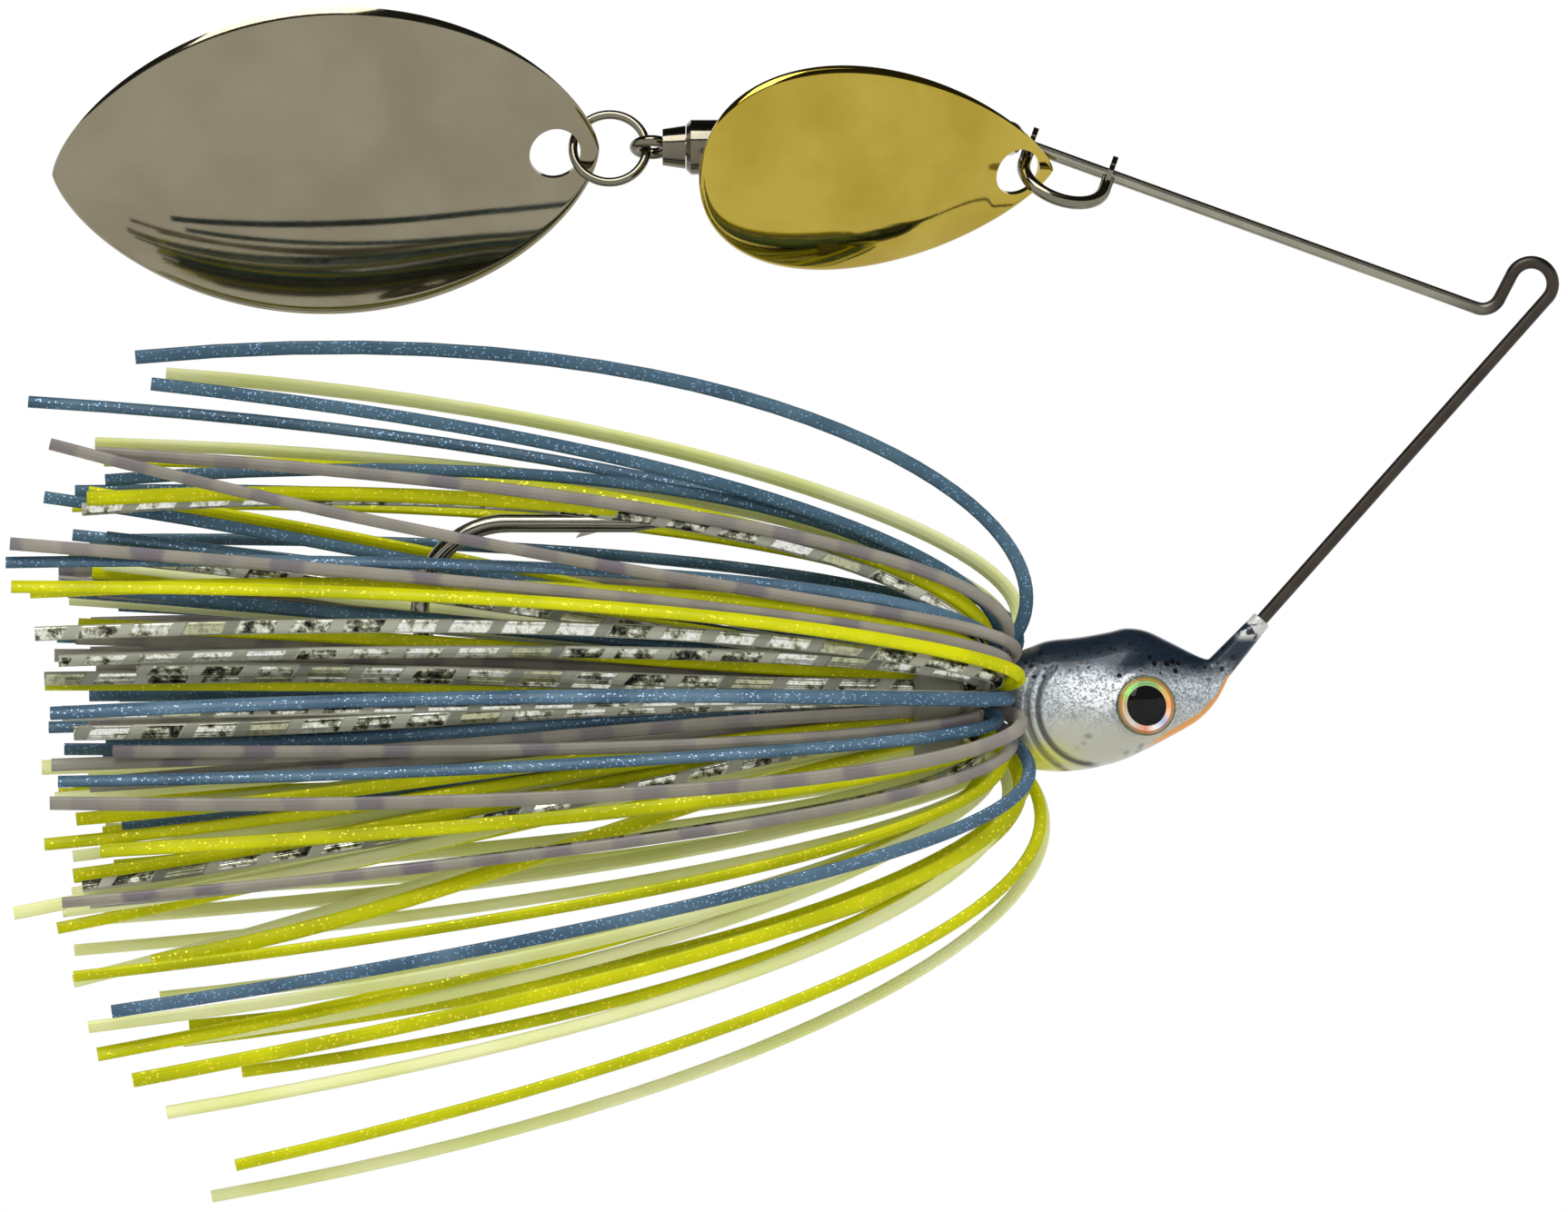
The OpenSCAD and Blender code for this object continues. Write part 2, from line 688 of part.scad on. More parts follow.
// Rows of six strands from top to bottom: side, layer, colour letters, then the front tails
// as the tip's reach behind the collar, its rise above the hook's axis, and the reach and rise
// of the knee that they bend at, then the rear tails as the tip's reach and rise
rows = [
    [-1, 0, "BSCSBC",
        [[50.5, 22, 3, 27], [56, 16.5, 13, 5], [58.5, 7, 9, 6.6],
            [56, -7, 9, -7.6], [52, -20, 10, -14.2], [44, -30, 9, -22.3]],
        [[55, 7], [54.5, 4], [56.5, 1], [52, -5.5], [51.5, -8.5], [52, -11]]],
    [-1, 1, "BBFBCP",
        [[49.5, 20.5, 10.5, 16], [59.5, 9, 10.5, 10], [57, 4, 10.5, 5.6],
            [55.5, -5.3, 10.5, -5], [54.5, -18, 10.5, -13.2], [48.5, -27, 10.5, -20.5]],
        [[52.5, 10.5], [55.5, 7.5], [56.5, 1.5], [51.5, -3], [56.5, -9.5], [58.5, -14]]],
    [-1, 2, "BFFSFC",
        [[52.5, 14.6, 9, 18], [54, 12.3, 9, 15.5], [55.5, 2.5, 12, 4.2],
            [52, -3.5, 12, -3.4], [53.5, -13.4, 12, -9.9], [53, -23, 12, -15.5]],
        [[56.5, 13], [54.5, 9.5], [50.5, 2], [56, -4.5], [54, -12.5], [49.5, -17]]],
    [1, 0, "PBSPCP",
        [[49, 21, 9, 18.5], [55, 13.5, 9, 14.5], [54, 3, 9, 4],
            [53, -9, 9, -9], [47.5, -21.5, 9, -17.5], [46, -32.5, 6, -25.5]],
        [[53, 8.5], [56, 4], [54, -1.5], [57, -4.5], [53, -9], [55, -12.5]]],
    [1, 1, "BBSPPC",
        [[58, 19.5, 10.5, 17], [54, 10.5, 10.5, 11.5], [56, 1.5, 10.5, 2.5],
            [52, -7.5, 10.5, -7], [55, -16.5, 10.5, -13.2], [44, -24.5, 10.5, -20]],
        [[55, 11], [52, 6], [56.5, -1], [54, -5], [55, -10.5], [56, -15]]],
    [1, 2, "CSBCPP",
        [[53, 15.5, 12, 15.5], [56, 8.5, 12, 9.3], [54, 0.5, 12, 1],
            [56, -6.5, 12, -6], [53, -14.5, 12, -11.5], [49, -22.5, 12, -17]],
        [[54, 13.5], [56, 7.5], [52, 0], [55, -6], [51, -12], [55, -18.5]]]
];
row_n = 6;

function mix(a, b, t) = a * (1 - t) + b * t;
function unit(v) = v / norm(v);
function bezier(p, t) =
    p[0] * (1 - t) ^ 3 + p[1] * 3 * t * (1 - t) ^ 2 + p[2] * 3 * t ^ 2 * (1 - t) + p[3] * t ^ 3;
function root_angle(side, j) = 90 - side * (j + 0.5) * 180 / row_n;
function root_dir(side, j) = [0, cos(root_angle(side, j)), sin(root_angle(side, j))];
function sheet_y(side, depth, j) =
    let (u = (2 * j + 1) / row_n - 1)
    side * (sheet_core + (depth - sheet_core) * sqrt(1 - sheet_flat * u ^ 2));
function tip_at(side, depth, j, tip) =
    [collar_back - tip[0], sheet_y(side, depth, j), axis_z + tip[1]];

// Control points of the two tails of strand j in a row
function front_curve(row, j) =
    let (
        k = row[1],
        out = root_dir(row[0], j),
        tip = tip_at(row[0], front_sheet[k], j, row[3][j]),
        root = [collar_front + fold_start[k], 0, axis_z] + layer_r[k] * out,
        knee = [collar_back - row[3][j][2], tip[1], axis_z + row[3][j][3]],
        sag = max(0, -out[2]) ^ 2,
        forward = [fold_forward[k] + sag * sag_forward[k], 0, 0]
    )
    [root, root + forward + (fold_out[k] + sag * sag_out[k]) * out, knee, tip];
function rear_curve(row, j) =
    let (
        k = row[1],
        out = root_dir(row[0], j),
        tip = tip_at(row[0], rear_sheet[k], j, row[4][j]),
        root = [collar_back, 0, axis_z] + layer_r[k] * out,
        spread = [collar_back - rear_pull, tip[1], mix(root[2], tip[2], 0.2)],
        settle = [tip[0] + tail_pull, tip[1], mix(root[2], tip[2], 0.72)]
    )
    [root, spread, settle, tip];

// Centre points of a strand from its front tip, under the collar, to its rear tip
fold_bias = 1.7;
rear_bias = 1.3;
function strand_path(row, j) =
    let (front = front_curve(row, j), rear = rear_curve(row, j))
    [
        for (i = [0 : front_rings - 1]) bezier(front, (1 - i / (front_rings - 1)) ^ fold_bias),
        for (i = [0 : rear_rings - 1]) bezier(rear, (i / (rear_rings - 1)) ^ rear_bias)
    ];
strand_rings = front_rings + rear_rings;

// Outward side of the strand at ring i: from the collar's radius at the root to the sheet's side
function strand_out(row, j, i) =
    let (t = i < front_rings ? 1 - i / (front_rings - 1) : (i - front_rings) / (rear_rings - 1))
    unit(mix(root_dir(row[0], j), [0, row[0], 0], min(1, 1.5 * t)));

function strand_points(row, j) =
    let (path = strand_path(row, j), last = strand_rings - 1)
    [
        for (i = [0 : last])
            let (
                along = unit(path[min(i + 1, last)] - path[max(i - 1, 0)]),
                across = unit(cross(along, strand_out(row, j, i))),
                out = cross(across, along),
                held = i >= front_rings - 2 && i <= front_rings + 1,
                w = strand_w / 2 * (held ? squeeze : 1)
            )
            each [for (c = [[-1, -1], [1, -1], [1, 1], [-1, 1]])
                path[i] + c[0] * w * across + c[1] * strand_t / 2 * out]
    ];

// All strands of one colour as separate closed solids
module strands(letter) {
    picked = [for (row = rows, j = [0 : row_n - 1]) if (row[2][j] == letter) [row, j]];
    polyhedron(
        points = [for (p = picked) each strand_points(p[0], p[1])],
        faces = [for (n = [0 : len(picked) - 1]) each loft_faces(strand_rings, 4, n * strand_rings * 4)],
        convexity = 10
    );
}

module skirt_blue() { color("steelblue") strands("B"); }
module skirt_chartreuse() { color("yellowgreen") strands("C"); }
module skirt_pale() { color("palegoldenrod") strands("P"); }
module skirt_smoke() { color("slategray") strands("S"); }
module skirt_foil() { color("lightgray") strands("F"); }

wire_frame();
head();
hook();
left_eye_disc();
left_eye_dome();
right_eye_disc();
right_eye_dome();
skirt_collar();
skirt_blue();
skirt_chartreuse();
skirt_pale();
skirt_smoke();
skirt_foil();
clevis();
front_blade();
bead_1();
bead_2();
bead_3();
swivel_back_eye();
swivel_barrel();
swivel_balls();
swivel_front_eye();
blade_ring();
rear_blade();
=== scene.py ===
import math
import random

import bpy
import numpy as np
from mathutils import Matrix, Vector


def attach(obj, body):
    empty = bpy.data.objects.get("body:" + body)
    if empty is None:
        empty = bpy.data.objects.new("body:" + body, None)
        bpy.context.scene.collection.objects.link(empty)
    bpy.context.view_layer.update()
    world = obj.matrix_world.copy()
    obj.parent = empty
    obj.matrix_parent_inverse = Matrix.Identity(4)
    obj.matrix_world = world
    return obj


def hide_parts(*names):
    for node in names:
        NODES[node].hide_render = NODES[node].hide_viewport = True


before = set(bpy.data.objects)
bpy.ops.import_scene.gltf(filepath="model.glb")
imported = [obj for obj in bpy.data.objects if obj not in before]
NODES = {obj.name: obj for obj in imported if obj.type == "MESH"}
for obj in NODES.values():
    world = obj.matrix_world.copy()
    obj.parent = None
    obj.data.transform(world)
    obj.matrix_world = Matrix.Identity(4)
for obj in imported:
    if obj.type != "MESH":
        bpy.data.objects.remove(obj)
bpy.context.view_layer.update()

# Sizes and places are in millimetres until a mesh is made. Materials and the studio are in metres.
MM = 0.001
# Height of the head's axis, and the centre of the loop that ends the wire's upper arm
AXIS_Z = -27.0106
LOOP = Vector((-45.7774, 0, 8.90382))
# Vertices closer than this are one, in metres
MERGE = 1e-6


# Meshes
def clear_selection():
    bpy.ops.object.select_all(action="DESELECT")


def active(obj):
    clear_selection()
    obj.select_set(True)
    bpy.context.view_layer.objects.active = obj


def apply_modifier(obj, kind, **values):
    active(obj)
    mod = obj.modifiers.new(kind.title(), kind)
    for key, value in values.items():
        setattr(mod, key, value)
    bpy.ops.object.modifier_apply(modifier=mod.name)


def outward(obj):
    """Merges doubles and turns all faces outwards."""
    active(obj)
    bpy.ops.object.mode_set(mode="EDIT")
    bpy.ops.mesh.select_all(action="SELECT")
    bpy.ops.mesh.remove_doubles(threshold=MERGE)
    bpy.ops.mesh.normals_make_consistent(inside=False)
    bpy.ops.object.mode_set(mode="OBJECT")


def smooth_by_angle(obj, degrees):
    active(obj)
    bpy.ops.object.shade_smooth_by_angle(angle=math.radians(degrees))


def moved(x, y, z):
    return Matrix.Translation(Vector((x, y, z)) * MM)


def turned(degrees, axis):
    return Matrix.Rotation(math.radians(degrees), 4, axis)


def rod(radius_a, radius_b, start, way, length):
    """A cone from start along way, made at the origin and moved in the mesh."""
    clear_selection()
    bpy.ops.mesh.primitive_cone_add(vertices=48, radius1=radius_a * MM, radius2=radius_b * MM,
                                    depth=length * MM)
    obj = bpy.context.object
    place = Matrix.Translation((start + way * (length / 2)) * MM)
    obj.data.transform(place @ way.to_track_quat("Z", "Y").to_matrix().to_4x4())
    return obj


def piece(obj, name, body, slot, material, *replaced):
    """Names a finished piece, gives it its material and ties it to the CAD frame."""
    obj.name = obj.data.name = name
    obj.data.materials.clear()
    obj.data.materials.append(material)
    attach(obj, body)
    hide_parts(*replaced)


# Shader helpers
def srgb(r, g, b):
    """Linear colour of an 8-bit sRGB one."""
    def linear(c):
        c /= 255
        return c / 12.92 if c <= 0.04045 else ((c + 0.055) / 1.055) ** 2.4
    return (linear(r), linear(g), linear(b), 1)


class Look:
    """One material and short ways to add nodes to it."""

    def __init__(self, name):
        self.mat = bpy.data.materials.new(name)
        self.mat.use_nodes = True
        self.tree = self.mat.node_tree
        self.bsdf = self.tree.nodes["Principled BSDF"]
        coords = self.add("ShaderNodeTexCoord")
        self.where, self.uv = coords.outputs["Object"], coords.outputs["UV"]

    def add(self, kind, inputs=None, **props):
        n = self.tree.nodes.new(kind)
        for key, value in props.items():
            setattr(n, key, value)
        for key, value in (inputs or {}).items():
            self.feed(n.inputs[key], value)
        return n

    def feed(self, socket, value):
        if isinstance(value, bpy.types.NodeSocket):
            self.tree.links.new(value, socket)
        else:
            socket.default_value = value

    def set(self, **values):
        for key, value in values.items():
            self.feed(self.bsdf.inputs[key.replace("_", " ")], value)

    def math(self, op, a, b=0.0, c=0.0):
        return self.add("ShaderNodeMath", {0: a, 1: b, 2: c}, operation=op).outputs[0]

    def product(self, first, *others):
        for other in others:
            first = self.math("MULTIPLY", first, other)
        return first

    def total(self, first, *others):
        for other in others:
            first = self.math("ADD", first, other)
        return first

    def length(self, a, b):
        return self.math("SQRT", self.total(self.product(a, a), self.product(b, b)))

    def step(self, value, low, high):
        """Rises smoothly from 0 at low to 1 at high, which may be the smaller."""
        n = self.add("ShaderNodeMapRange", {0: value, 1: low, 2: high},
                     interpolation_type="SMOOTHSTEP")
        return n.outputs[0]

    def mix(self, factor, a, b, blend="MIX"):
        n = self.add("ShaderNodeMix", {0: factor, 6: a, 7: b}, data_type="RGBA", blend_type=blend)
        return n.outputs[2]

    def ramp(self, factor, stops):
        n = self.add("ShaderNodeValToRGB", {0: factor})
        marks = n.color_ramp.elements
        while len(marks) < len(stops):
            marks.new(0.5)
        for mark, (place, colour) in zip(marks, stops):
            mark.position, mark.color = place, colour
        return n.outputs[0]

    def noise(self, scale, detail=3.0, rough=0.5):
        n = self.add("ShaderNodeTexNoise", {"Vector": self.where, "Scale": scale,
                                            "Detail": detail, "Roughness": rough})
        return n.outputs[0]

    def noise_vector(self, scale, reach):
        """A small random shift, up to about half the reach each way."""
        cloud = self.add("ShaderNodeTexNoise", {"Vector": self.where, "Scale": scale})
        centred = self.add("ShaderNodeVectorMath", {0: cloud.outputs["Color"], 1: (0.5, 0.5, 0.5)},
                           operation="SUBTRACT")
        scaled = self.add("ShaderNodeVectorMath", {0: centred.outputs[0], "Scale": reach},
                          operation="SCALE")
        return scaled.outputs[0]

    def clouded(self, scale, dark, light, detail=3.0):
        """Two colours in soft clouds."""
        return self.mix(self.step(self.noise(scale, detail), 0.3, 0.7), dark, light)

    def cells(self, scale, where=None):
        return self.add("ShaderNodeTexVoronoi", {"Vector": where or self.where, "Scale": scale})

    def split(self, vector):
        return self.add("ShaderNodeSeparateXYZ", {0: vector}).outputs

    def bump(self, height, strength, depth):
        n = self.add("ShaderNodeBump", {"Strength": strength, "Distance": depth, "Height": height})
        self.set(Normal=n.outputs[0])


# Metals
def plated(name, colour, shade, rough, grain):
    """Plated metal: a faint cloud, small dull pits and a fine grain."""
    look = Look(name)
    pits = look.step(look.noise(2600, 5, 0.8), 0.6, 0.72)
    tint = look.clouded(180, shade, colour, 4)
    tint = look.mix(look.product(pits, 0.16), tint, srgb(60, 56, 50))
    haze = look.product(look.noise(900, 4), 0.06)
    look.set(Base_Color=tint, Metallic=1.0, Roughness=look.total(rough, haze))
    look.bump(look.noise(4200), grain, 0.01 * MM)
    return look.mat


def spring_wire_look():
    """Drawn wire: bright along the upper arm, dull at the line tie and below it."""
    look = Look("Drawn Spring Wire")
    x, _, z = look.split(look.where)
    lower = look.math("MAXIMUM", look.step(x, -0.005, -0.002), look.step(z, 0.0, -0.003))
    bright = look.mix(look.noise(700), srgb(136, 133, 119), srgb(166, 162, 146))
    dull = look.mix(look.noise(700), srgb(54, 49, 44), srgb(80, 74, 68))
    look.set(Base_Color=look.mix(lower, bright, dull), Metallic=1.0)
    look.set(Roughness=look.total(0.24, look.product(lower, 0.14)))
    look.bump(look.noise(2600, 4), 0.15, 0.02 * MM)
    return look.mat


# Silicone strands
def silicone(name, clear=0.0):
    """A finely ribbed strand that has no colour yet."""
    look = Look(name)
    across = look.split(look.uv)[1]
    ribs = look.math("SINE", look.product(across, 19.0))
    look.bump(look.total(ribs, look.noise(2400)), 0.18, 0.03 * MM)
    look.set(Roughness=0.34, Specular_IOR_Level=0.3, Transmission_Weight=clear, IOR=1.41)
    return look


def strand_seed(look):
    """The random value that each strand's mesh carries."""
    return look.add("ShaderNodeAttribute", attribute_name="strand").outputs["Fac"]


def glitter(look, base, colour, scale, share):
    """Small cells of another colour, the given share of them lit, and the mask of the lit ones."""
    grain = look.cells(scale)
    pick = look.split(grain.outputs["Color"])[0]
    lit = look.math("LESS_THAN", pick, share)
    near = look.math("LESS_THAN", grain.outputs["Distance"], 0.42)
    mask = look.product(lit, near)
    return look.mix(mask, base, colour), mask


def printed_marks(look, per_mm, shift, slant=0.0):
    """Marks repeated along a strand: the place within each one, and a random value for each."""
    along, across, _ = look.split(look.uv)
    place = look.total(look.product(along, per_mm), look.product(strand_seed(look), shift),
                       look.product(across, slant))
    which = look.math("FLOOR", place)
    chance = look.add("ShaderNodeTexWhiteNoise", {"W": which}, noise_dimensions="1D").outputs[0]
    return look.math("FRACT", place), chance


def blue_silicone():
    """Slate blue with a pale glitter, greener on some strands."""
    look = silicone("Slate Blue Silicone")
    shade = look.clouded(160, srgb(58, 84, 106), srgb(88, 116, 136))
    shade = look.mix(look.product(strand_seed(look), 0.5), shade, srgb(50, 82, 92))
    colour, mask = glitter(look, shade, srgb(128, 160, 190), 7000, 0.22)
    look.set(Base_Color=colour, Metallic=look.product(mask, 0.7))
    return look.mat


def chartreuse_silicone():
    look = silicone("Chartreuse Silicone")
    shade = look.clouded(150, srgb(174, 178, 0), srgb(204, 206, 2))
    colour, mask = glitter(look, shade, srgb(236, 218, 66), 5600, 0.18)
    look.set(Base_Color=colour, Metallic=look.product(mask, 0.5), Specular_IOR_Level=0.2)
    return look.mat


def pale_silicone():
    look = silicone("Pale Chartreuse Silicone", 0.1)
    look.set(Base_Color=look.clouded(140, srgb(228, 234, 150), srgb(242, 244, 186)))
    return look.mat


def smoke_silicone():
    """Smoky clear with uneven violet bars."""
    look = silicone("Smoke Silicone", 0.25)
    place, chance = printed_marks(look, 0.22, 23.0)
    ragged = look.total(place, look.product(look.noise(800), 0.3))
    bar = look.product(look.step(ragged, 0.14, 0.26), look.step(ragged, 0.74, 0.58), chance, 0.62)
    shade = look.mix(look.noise(260), srgb(142, 136, 124), srgb(176, 170, 156))
    look.set(Base_Color=look.mix(bar, shade, srgb(94, 82, 112)))
    return look.mat


FOIL_TONES = (
    (0.28, srgb(26, 26, 28)), (0.38, srgb(110, 110, 92)), (0.46, srgb(196, 198, 176)),
    (0.56, srgb(240, 240, 234)), (0.72, srgb(176, 178, 172)),
)


def foil_silicone():
    """Clear with slanted patches of crumpled foil; some of them carry a painted reflection of the
    chartreuse strands, tinted olive.
    """
    look = silicone("Foil Print Silicone", 0.1)
    across = look.split(look.uv)[1]
    place, chance = printed_marks(look, 0.29, 37.0, 0.16)
    ragged = look.total(place, look.product(look.noise(1600, 2), 0.1))
    patch = look.product(look.step(ragged, 0.06, 0.10), look.step(ragged, 0.82, 0.78),
                         look.step(across, 0.04, 0.1), look.step(across, 0.96, 0.9))
    lighter = look.product(look.math("SUBTRACT", chance, 0.5), 0.34)
    silver = look.ramp(look.total(look.noise(1300, 4, 0.7), lighter), FOIL_TONES)
    # Painted reflection: some patches are tinted olive, as if they mirrored the chartreuse strands nearby
    olive_reflection = look.product(look.math("GREATER_THAN", chance, 0.7), 0.6)
    silver = look.mix(olive_reflection, silver, srgb(150, 152, 30), "MULTIPLY")
    gap = look.mix(chance, srgb(190, 190, 172), srgb(112, 116, 102))
    look.set(Base_Color=look.mix(patch, gap, silver), Metallic=look.product(patch, 0.85))
    look.set(Roughness=look.math("SUBTRACT", 0.4, look.product(patch, 0.2)))
    return look.mat


# Skirt strands: the CAD model's curves, swept finer and with rounded edges
COLLAR_FRONT, COLLAR_BACK = -37.0299, -40.2299
# For each of the three layers: radius under the collar, spread of the tails to the side, and the fold
LAYER_R = (2.11, 2.65, 3.19)
FRONT_SHEET, REAR_SHEET = (8, 7.05, 6.1), (3.4, 4.3, 5.2)
FOLD_START, FOLD_FORWARD, FOLD_OUT = (1, 0.65, 0.3), (11, 7.7, 4.6), (5.8, 4.5, 3.2)
SAG_FORWARD, SAG_OUT = (4, 2.6, 1.2), (5, 3.2, 1.4)
# Least spread to the side, how far it falls off toward top and bottom, and strands in a row
SHEET_CORE, SHEET_FLAT, RANKS = 3.2, 0.6, 6
# Bends of a rear tail: how far from the collar or the tip, and the share of the way to the tip's height
REAR_MID, MID_SHARE = 14, 0.2
REAR_LATE, LATE_SHARE = 20, 0.72
STRAND_W, STRAND_T, EDGE_SHARE = 0.95, 0.42, 0.3
WIDTH_RANGE = (0.8, 1.06)
# Side, layer and colour letters of a row of strands, then their front tails, as the reach and height
# of the tip and of the knee before it, and their rear tails, as the reach and height of the tip
ROWS = (
    (-1, 0, "BSCSBC",
     ((50.5, 22, 3, 27), (56, 16.5, 13, 5), (58.5, 7, 9, 6.6),
      (56, -7, 9, -7.6), (52, -20, 10, -14.2), (44, -30, 9, -22.3)),
     ((55, 7), (54.5, 4), (56.5, 1), (52, -5.5), (51.5, -8.5), (52, -11))),
    (-1, 1, "BBFBCP",
     ((49.5, 20.5, 10.5, 16), (58.9, 9, 10.5, 10), (57, 4, 10.5, 5.6),
      (55.5, -5.3, 10.5, -5), (54.5, -18, 10.5, -13.2), (48.5, -27, 10.5, -20.5)),
     ((52.5, 10.5), (55.5, 7.5), (56.5, 1.5), (51.5, -3), (56.5, -9.5), (58.5, -14))),
    (-1, 2, "BFFSFC",
     ((52.5, 14.6, 9, 18), (54, 12.3, 9, 15.5), (55.5, 2.5, 12, 4.2),
      (52, -3.5, 12, -3.4), (53.5, -13.4, 12, -9.9), (53, -23, 12, -15.5)),
     ((56.5, 13), (54.5, 9.5), (50.5, 2), (56, -4.5), (54, -12.5), (49.5, -17))),
    (1, 0, "PBSPCP",
     ((49, 21, 9, 18.5), (55, 13.5, 9, 14.5), (54, 3, 9, 4),
      (53, -9, 9, -9), (47.5, -21.5, 9, -17.5), (46, -32.5, 6, -25.5)),
     ((53, 8.5), (56, 4), (54, -1.5), (57, -4.5), (53, -9), (55, -12.5))),
    (1, 1, "BBSPPC",
     ((58, 19.5, 10.5, 17), (54, 10.5, 10.5, 11.5), (56, 1.5, 10.5, 2.5),
      (52, -7.5, 10.5, -7), (55, -16.5, 10.5, -13.2), (44, -24.5, 10.5, -20)),
     ((55, 11), (52, 6), (56.5, -1), (54, -5), (55, -10.5), (56, -15))),
    (1, 2, "CSBCPP",
     ((53, 15.5, 12, 15.5), (56, 8.5, 12, 9.3), (54, 0.5, 12, 1),
      (56, -6.5, 12, -6), (53, -14.5, 12, -11.5), (49, -22.5, 12, -17)),
     ((54, 13.5), (56, 7.5), (52, 0), (55, -6), (51, -12), (55, -18.5))),
)
# Fillers between two rows, with their colour letters, and the random spread of their tails
FILLER_ROWS = ((0, 1, "SSBSC"), (1, 2, "CCFCP"), (3, 4, "PSBPC"), (4, 5, "CSBPP"))
FRONT_SPREAD, REAR_SPREAD = (1.2, 1.2, 1.5, 1.2), (1.5, 1.2)
FILLER_SEED = 4
# Points along a tail, and how they crowd toward the collar
FRONT_STEPS, FRONT_CROWD = 46, 1.7
REAR_STEPS, REAR_CROWD = 26, 1.3
# Limpness of a tail: sway, its share to the side, then radians of wave, of phase and of roll at the tip
SWAY, SIDE_SWAY, WAVE, PHASE, TWIST = 0.45, 0.4, 7, 6.3, 0.7
# After two thirds of its points, a tail's flat side has turned outwards
TURN_RATE = 1.5
UPWARD = np.array((0, 0, 1.0))


def unit(v):
    return v / np.linalg.norm(v)


def bezier(p, t):
    u = 1 - t
    return u**3 * p[0] + 3 * u * u * t * p[1] + 3 * u * t * t * p[2] + t**3 * p[3]


def at_layer(table, k):
    """A layer's value from a table of three, between layers too."""
    return float(np.interp(k, (0, 1, 2), table))


def sheet_y(side, depth, j):
    u = (2 * j + 1) / RANKS - 1
    return side * (SHEET_CORE + (depth - SHEET_CORE) * math.sqrt(1 - SHEET_FLAT * u * u))


def strand_curves(side, k, j, front, rear):
    """Control points of a strand's front and rear tails, and its direction out of the collar."""
    angle = math.radians(90 - side * (j + 0.5) * 180 / RANKS)
    out = np.array((0, math.cos(angle), math.sin(angle)))
    sag = max(0, -out[2]) ** 2
    around = at_layer(LAYER_R, k) * out
    forward = at_layer(FOLD_FORWARD, k) + sag * at_layer(SAG_FORWARD, k)
    outside = at_layer(FOLD_OUT, k) + sag * at_layer(SAG_OUT, k)
    front_y = sheet_y(side, at_layer(FRONT_SHEET, k), j)
    rear_y = sheet_y(side, at_layer(REAR_SHEET, k), j)
    root = np.array((COLLAR_FRONT + at_layer(FOLD_START, k), 0, AXIS_Z)) + around
    bulge = root + (forward, 0, 0) + outside * out
    knee = np.array((COLLAR_BACK - front[2], front_y, AXIS_Z + front[3]))
    tip = np.array((COLLAR_BACK - front[0], front_y, AXIS_Z + front[1]))
    back = np.array((COLLAR_BACK, 0, AXIS_Z)) + around
    end = np.array((COLLAR_BACK - rear[0], rear_y, AXIS_Z + rear[1]))
    mid_z = back[2] * (1 - MID_SHARE) + end[2] * MID_SHARE
    late_z = back[2] * (1 - LATE_SHARE) + end[2] * LATE_SHARE
    mid = np.array((COLLAR_BACK - REAR_MID, rear_y, mid_z))
    late = np.array((end[0] + REAR_LATE, rear_y, late_z))
    return (root, bulge, knee, tip), (back, mid, late, end), out


def tail_path(curve, steps, crowd, out, outer, draws):
    """Points along a tail from the collar to its tip, and the way its flat side faces at each."""
    sway = draws.uniform(-SWAY, SWAY)
    phase = draws.uniform(0, PHASE)
    twist = draws.uniform(-TWIST, TWIST)
    points, outs = [], []
    for i in range(steps):
        t = i / (steps - 1)
        limp = t * t * (3 - 2 * t)
        bend = sway * limp * math.sin(phase + WAVE * t)
        points.append(bezier(curve, t ** crowd) + (0, SIDE_SWAY * bend, bend))
        w = min(1, TURN_RATE * t)
        flat = unit(out * (1 - w) + outer * w)
        roll = twist * limp
        outs.append(unit(flat * math.cos(roll) + UPWARD * math.sin(roll)))
    return points, outs


def strand_path(side, k, j, front, rear, draws):
    """Points along a strand from its front tip to its rear tip, and the outward direction at each."""
    fore, aft, out = strand_curves(side, k, j, front, rear)
    outer = np.array((0, side, 0.0))
    fore_points, fore_outs = tail_path(fore, FRONT_STEPS, FRONT_CROWD, out, outer, draws)
    aft_points, aft_outs = tail_path(aft, REAR_STEPS, REAR_CROWD, out, outer, draws)
    return np.array(fore_points[::-1] + aft_points), np.array(fore_outs[::-1] + aft_outs)


def strand_section(width, thick):
    """Corners of a flat strip with bevelled edges."""
    edge = EDGE_SHARE * thick
    a, b = width / 2, thick / 2
    return [(-a, -b + edge), (-a + edge, -b), (a - edge, -b), (a, -b + edge),
            (a, b - edge), (a - edge, b), (-a + edge, b), (-a, b - edge)]


def strand_mesh(path, outs, width, seed, mesh):
    """Sweeps a strand's section along the path into the mesh lists."""
    section = strand_section(width, STRAND_T)
    n, base = len(section), len(mesh["points"])
    steps = np.linalg.norm(np.diff(path, axis=0), axis=1)
    length = np.concatenate(([0], np.cumsum(steps)))
    along = np.gradient(path, axis=0)
    for i, point in enumerate(path):
        across = unit(np.cross(along[i], outs[i]))
        lift = unit(np.cross(across, along[i]))
        for x, y in section:
            mesh["points"].append(point + x * across + y * lift)
            mesh["uvs"].append((length[i], x / width + 0.5))
            mesh["seeds"].append(seed)
    for i in range(len(path) - 1):
        for s in range(n):
            q, r = base + i * n + s, base + i * n + (s + 1) % n
            mesh["faces"].append((q, r, r + n, q + n))
    mesh["faces"].append(tuple(base + s for s in reversed(range(n))))
    mesh["faces"].append(tuple(base + (len(path) - 1) * n + s for s in range(n)))


def filler_tail(tails, j, spreads, draws):
    """The mean of the four tails around a filler, shifted at random within the spreads."""
    around = [row[n] for row in tails for n in (j, j + 1)]
    return [sum(tail[axis] for tail in around) / len(around) + draws.uniform(-spread, spread)
            for axis, spread in enumerate(spreads)]


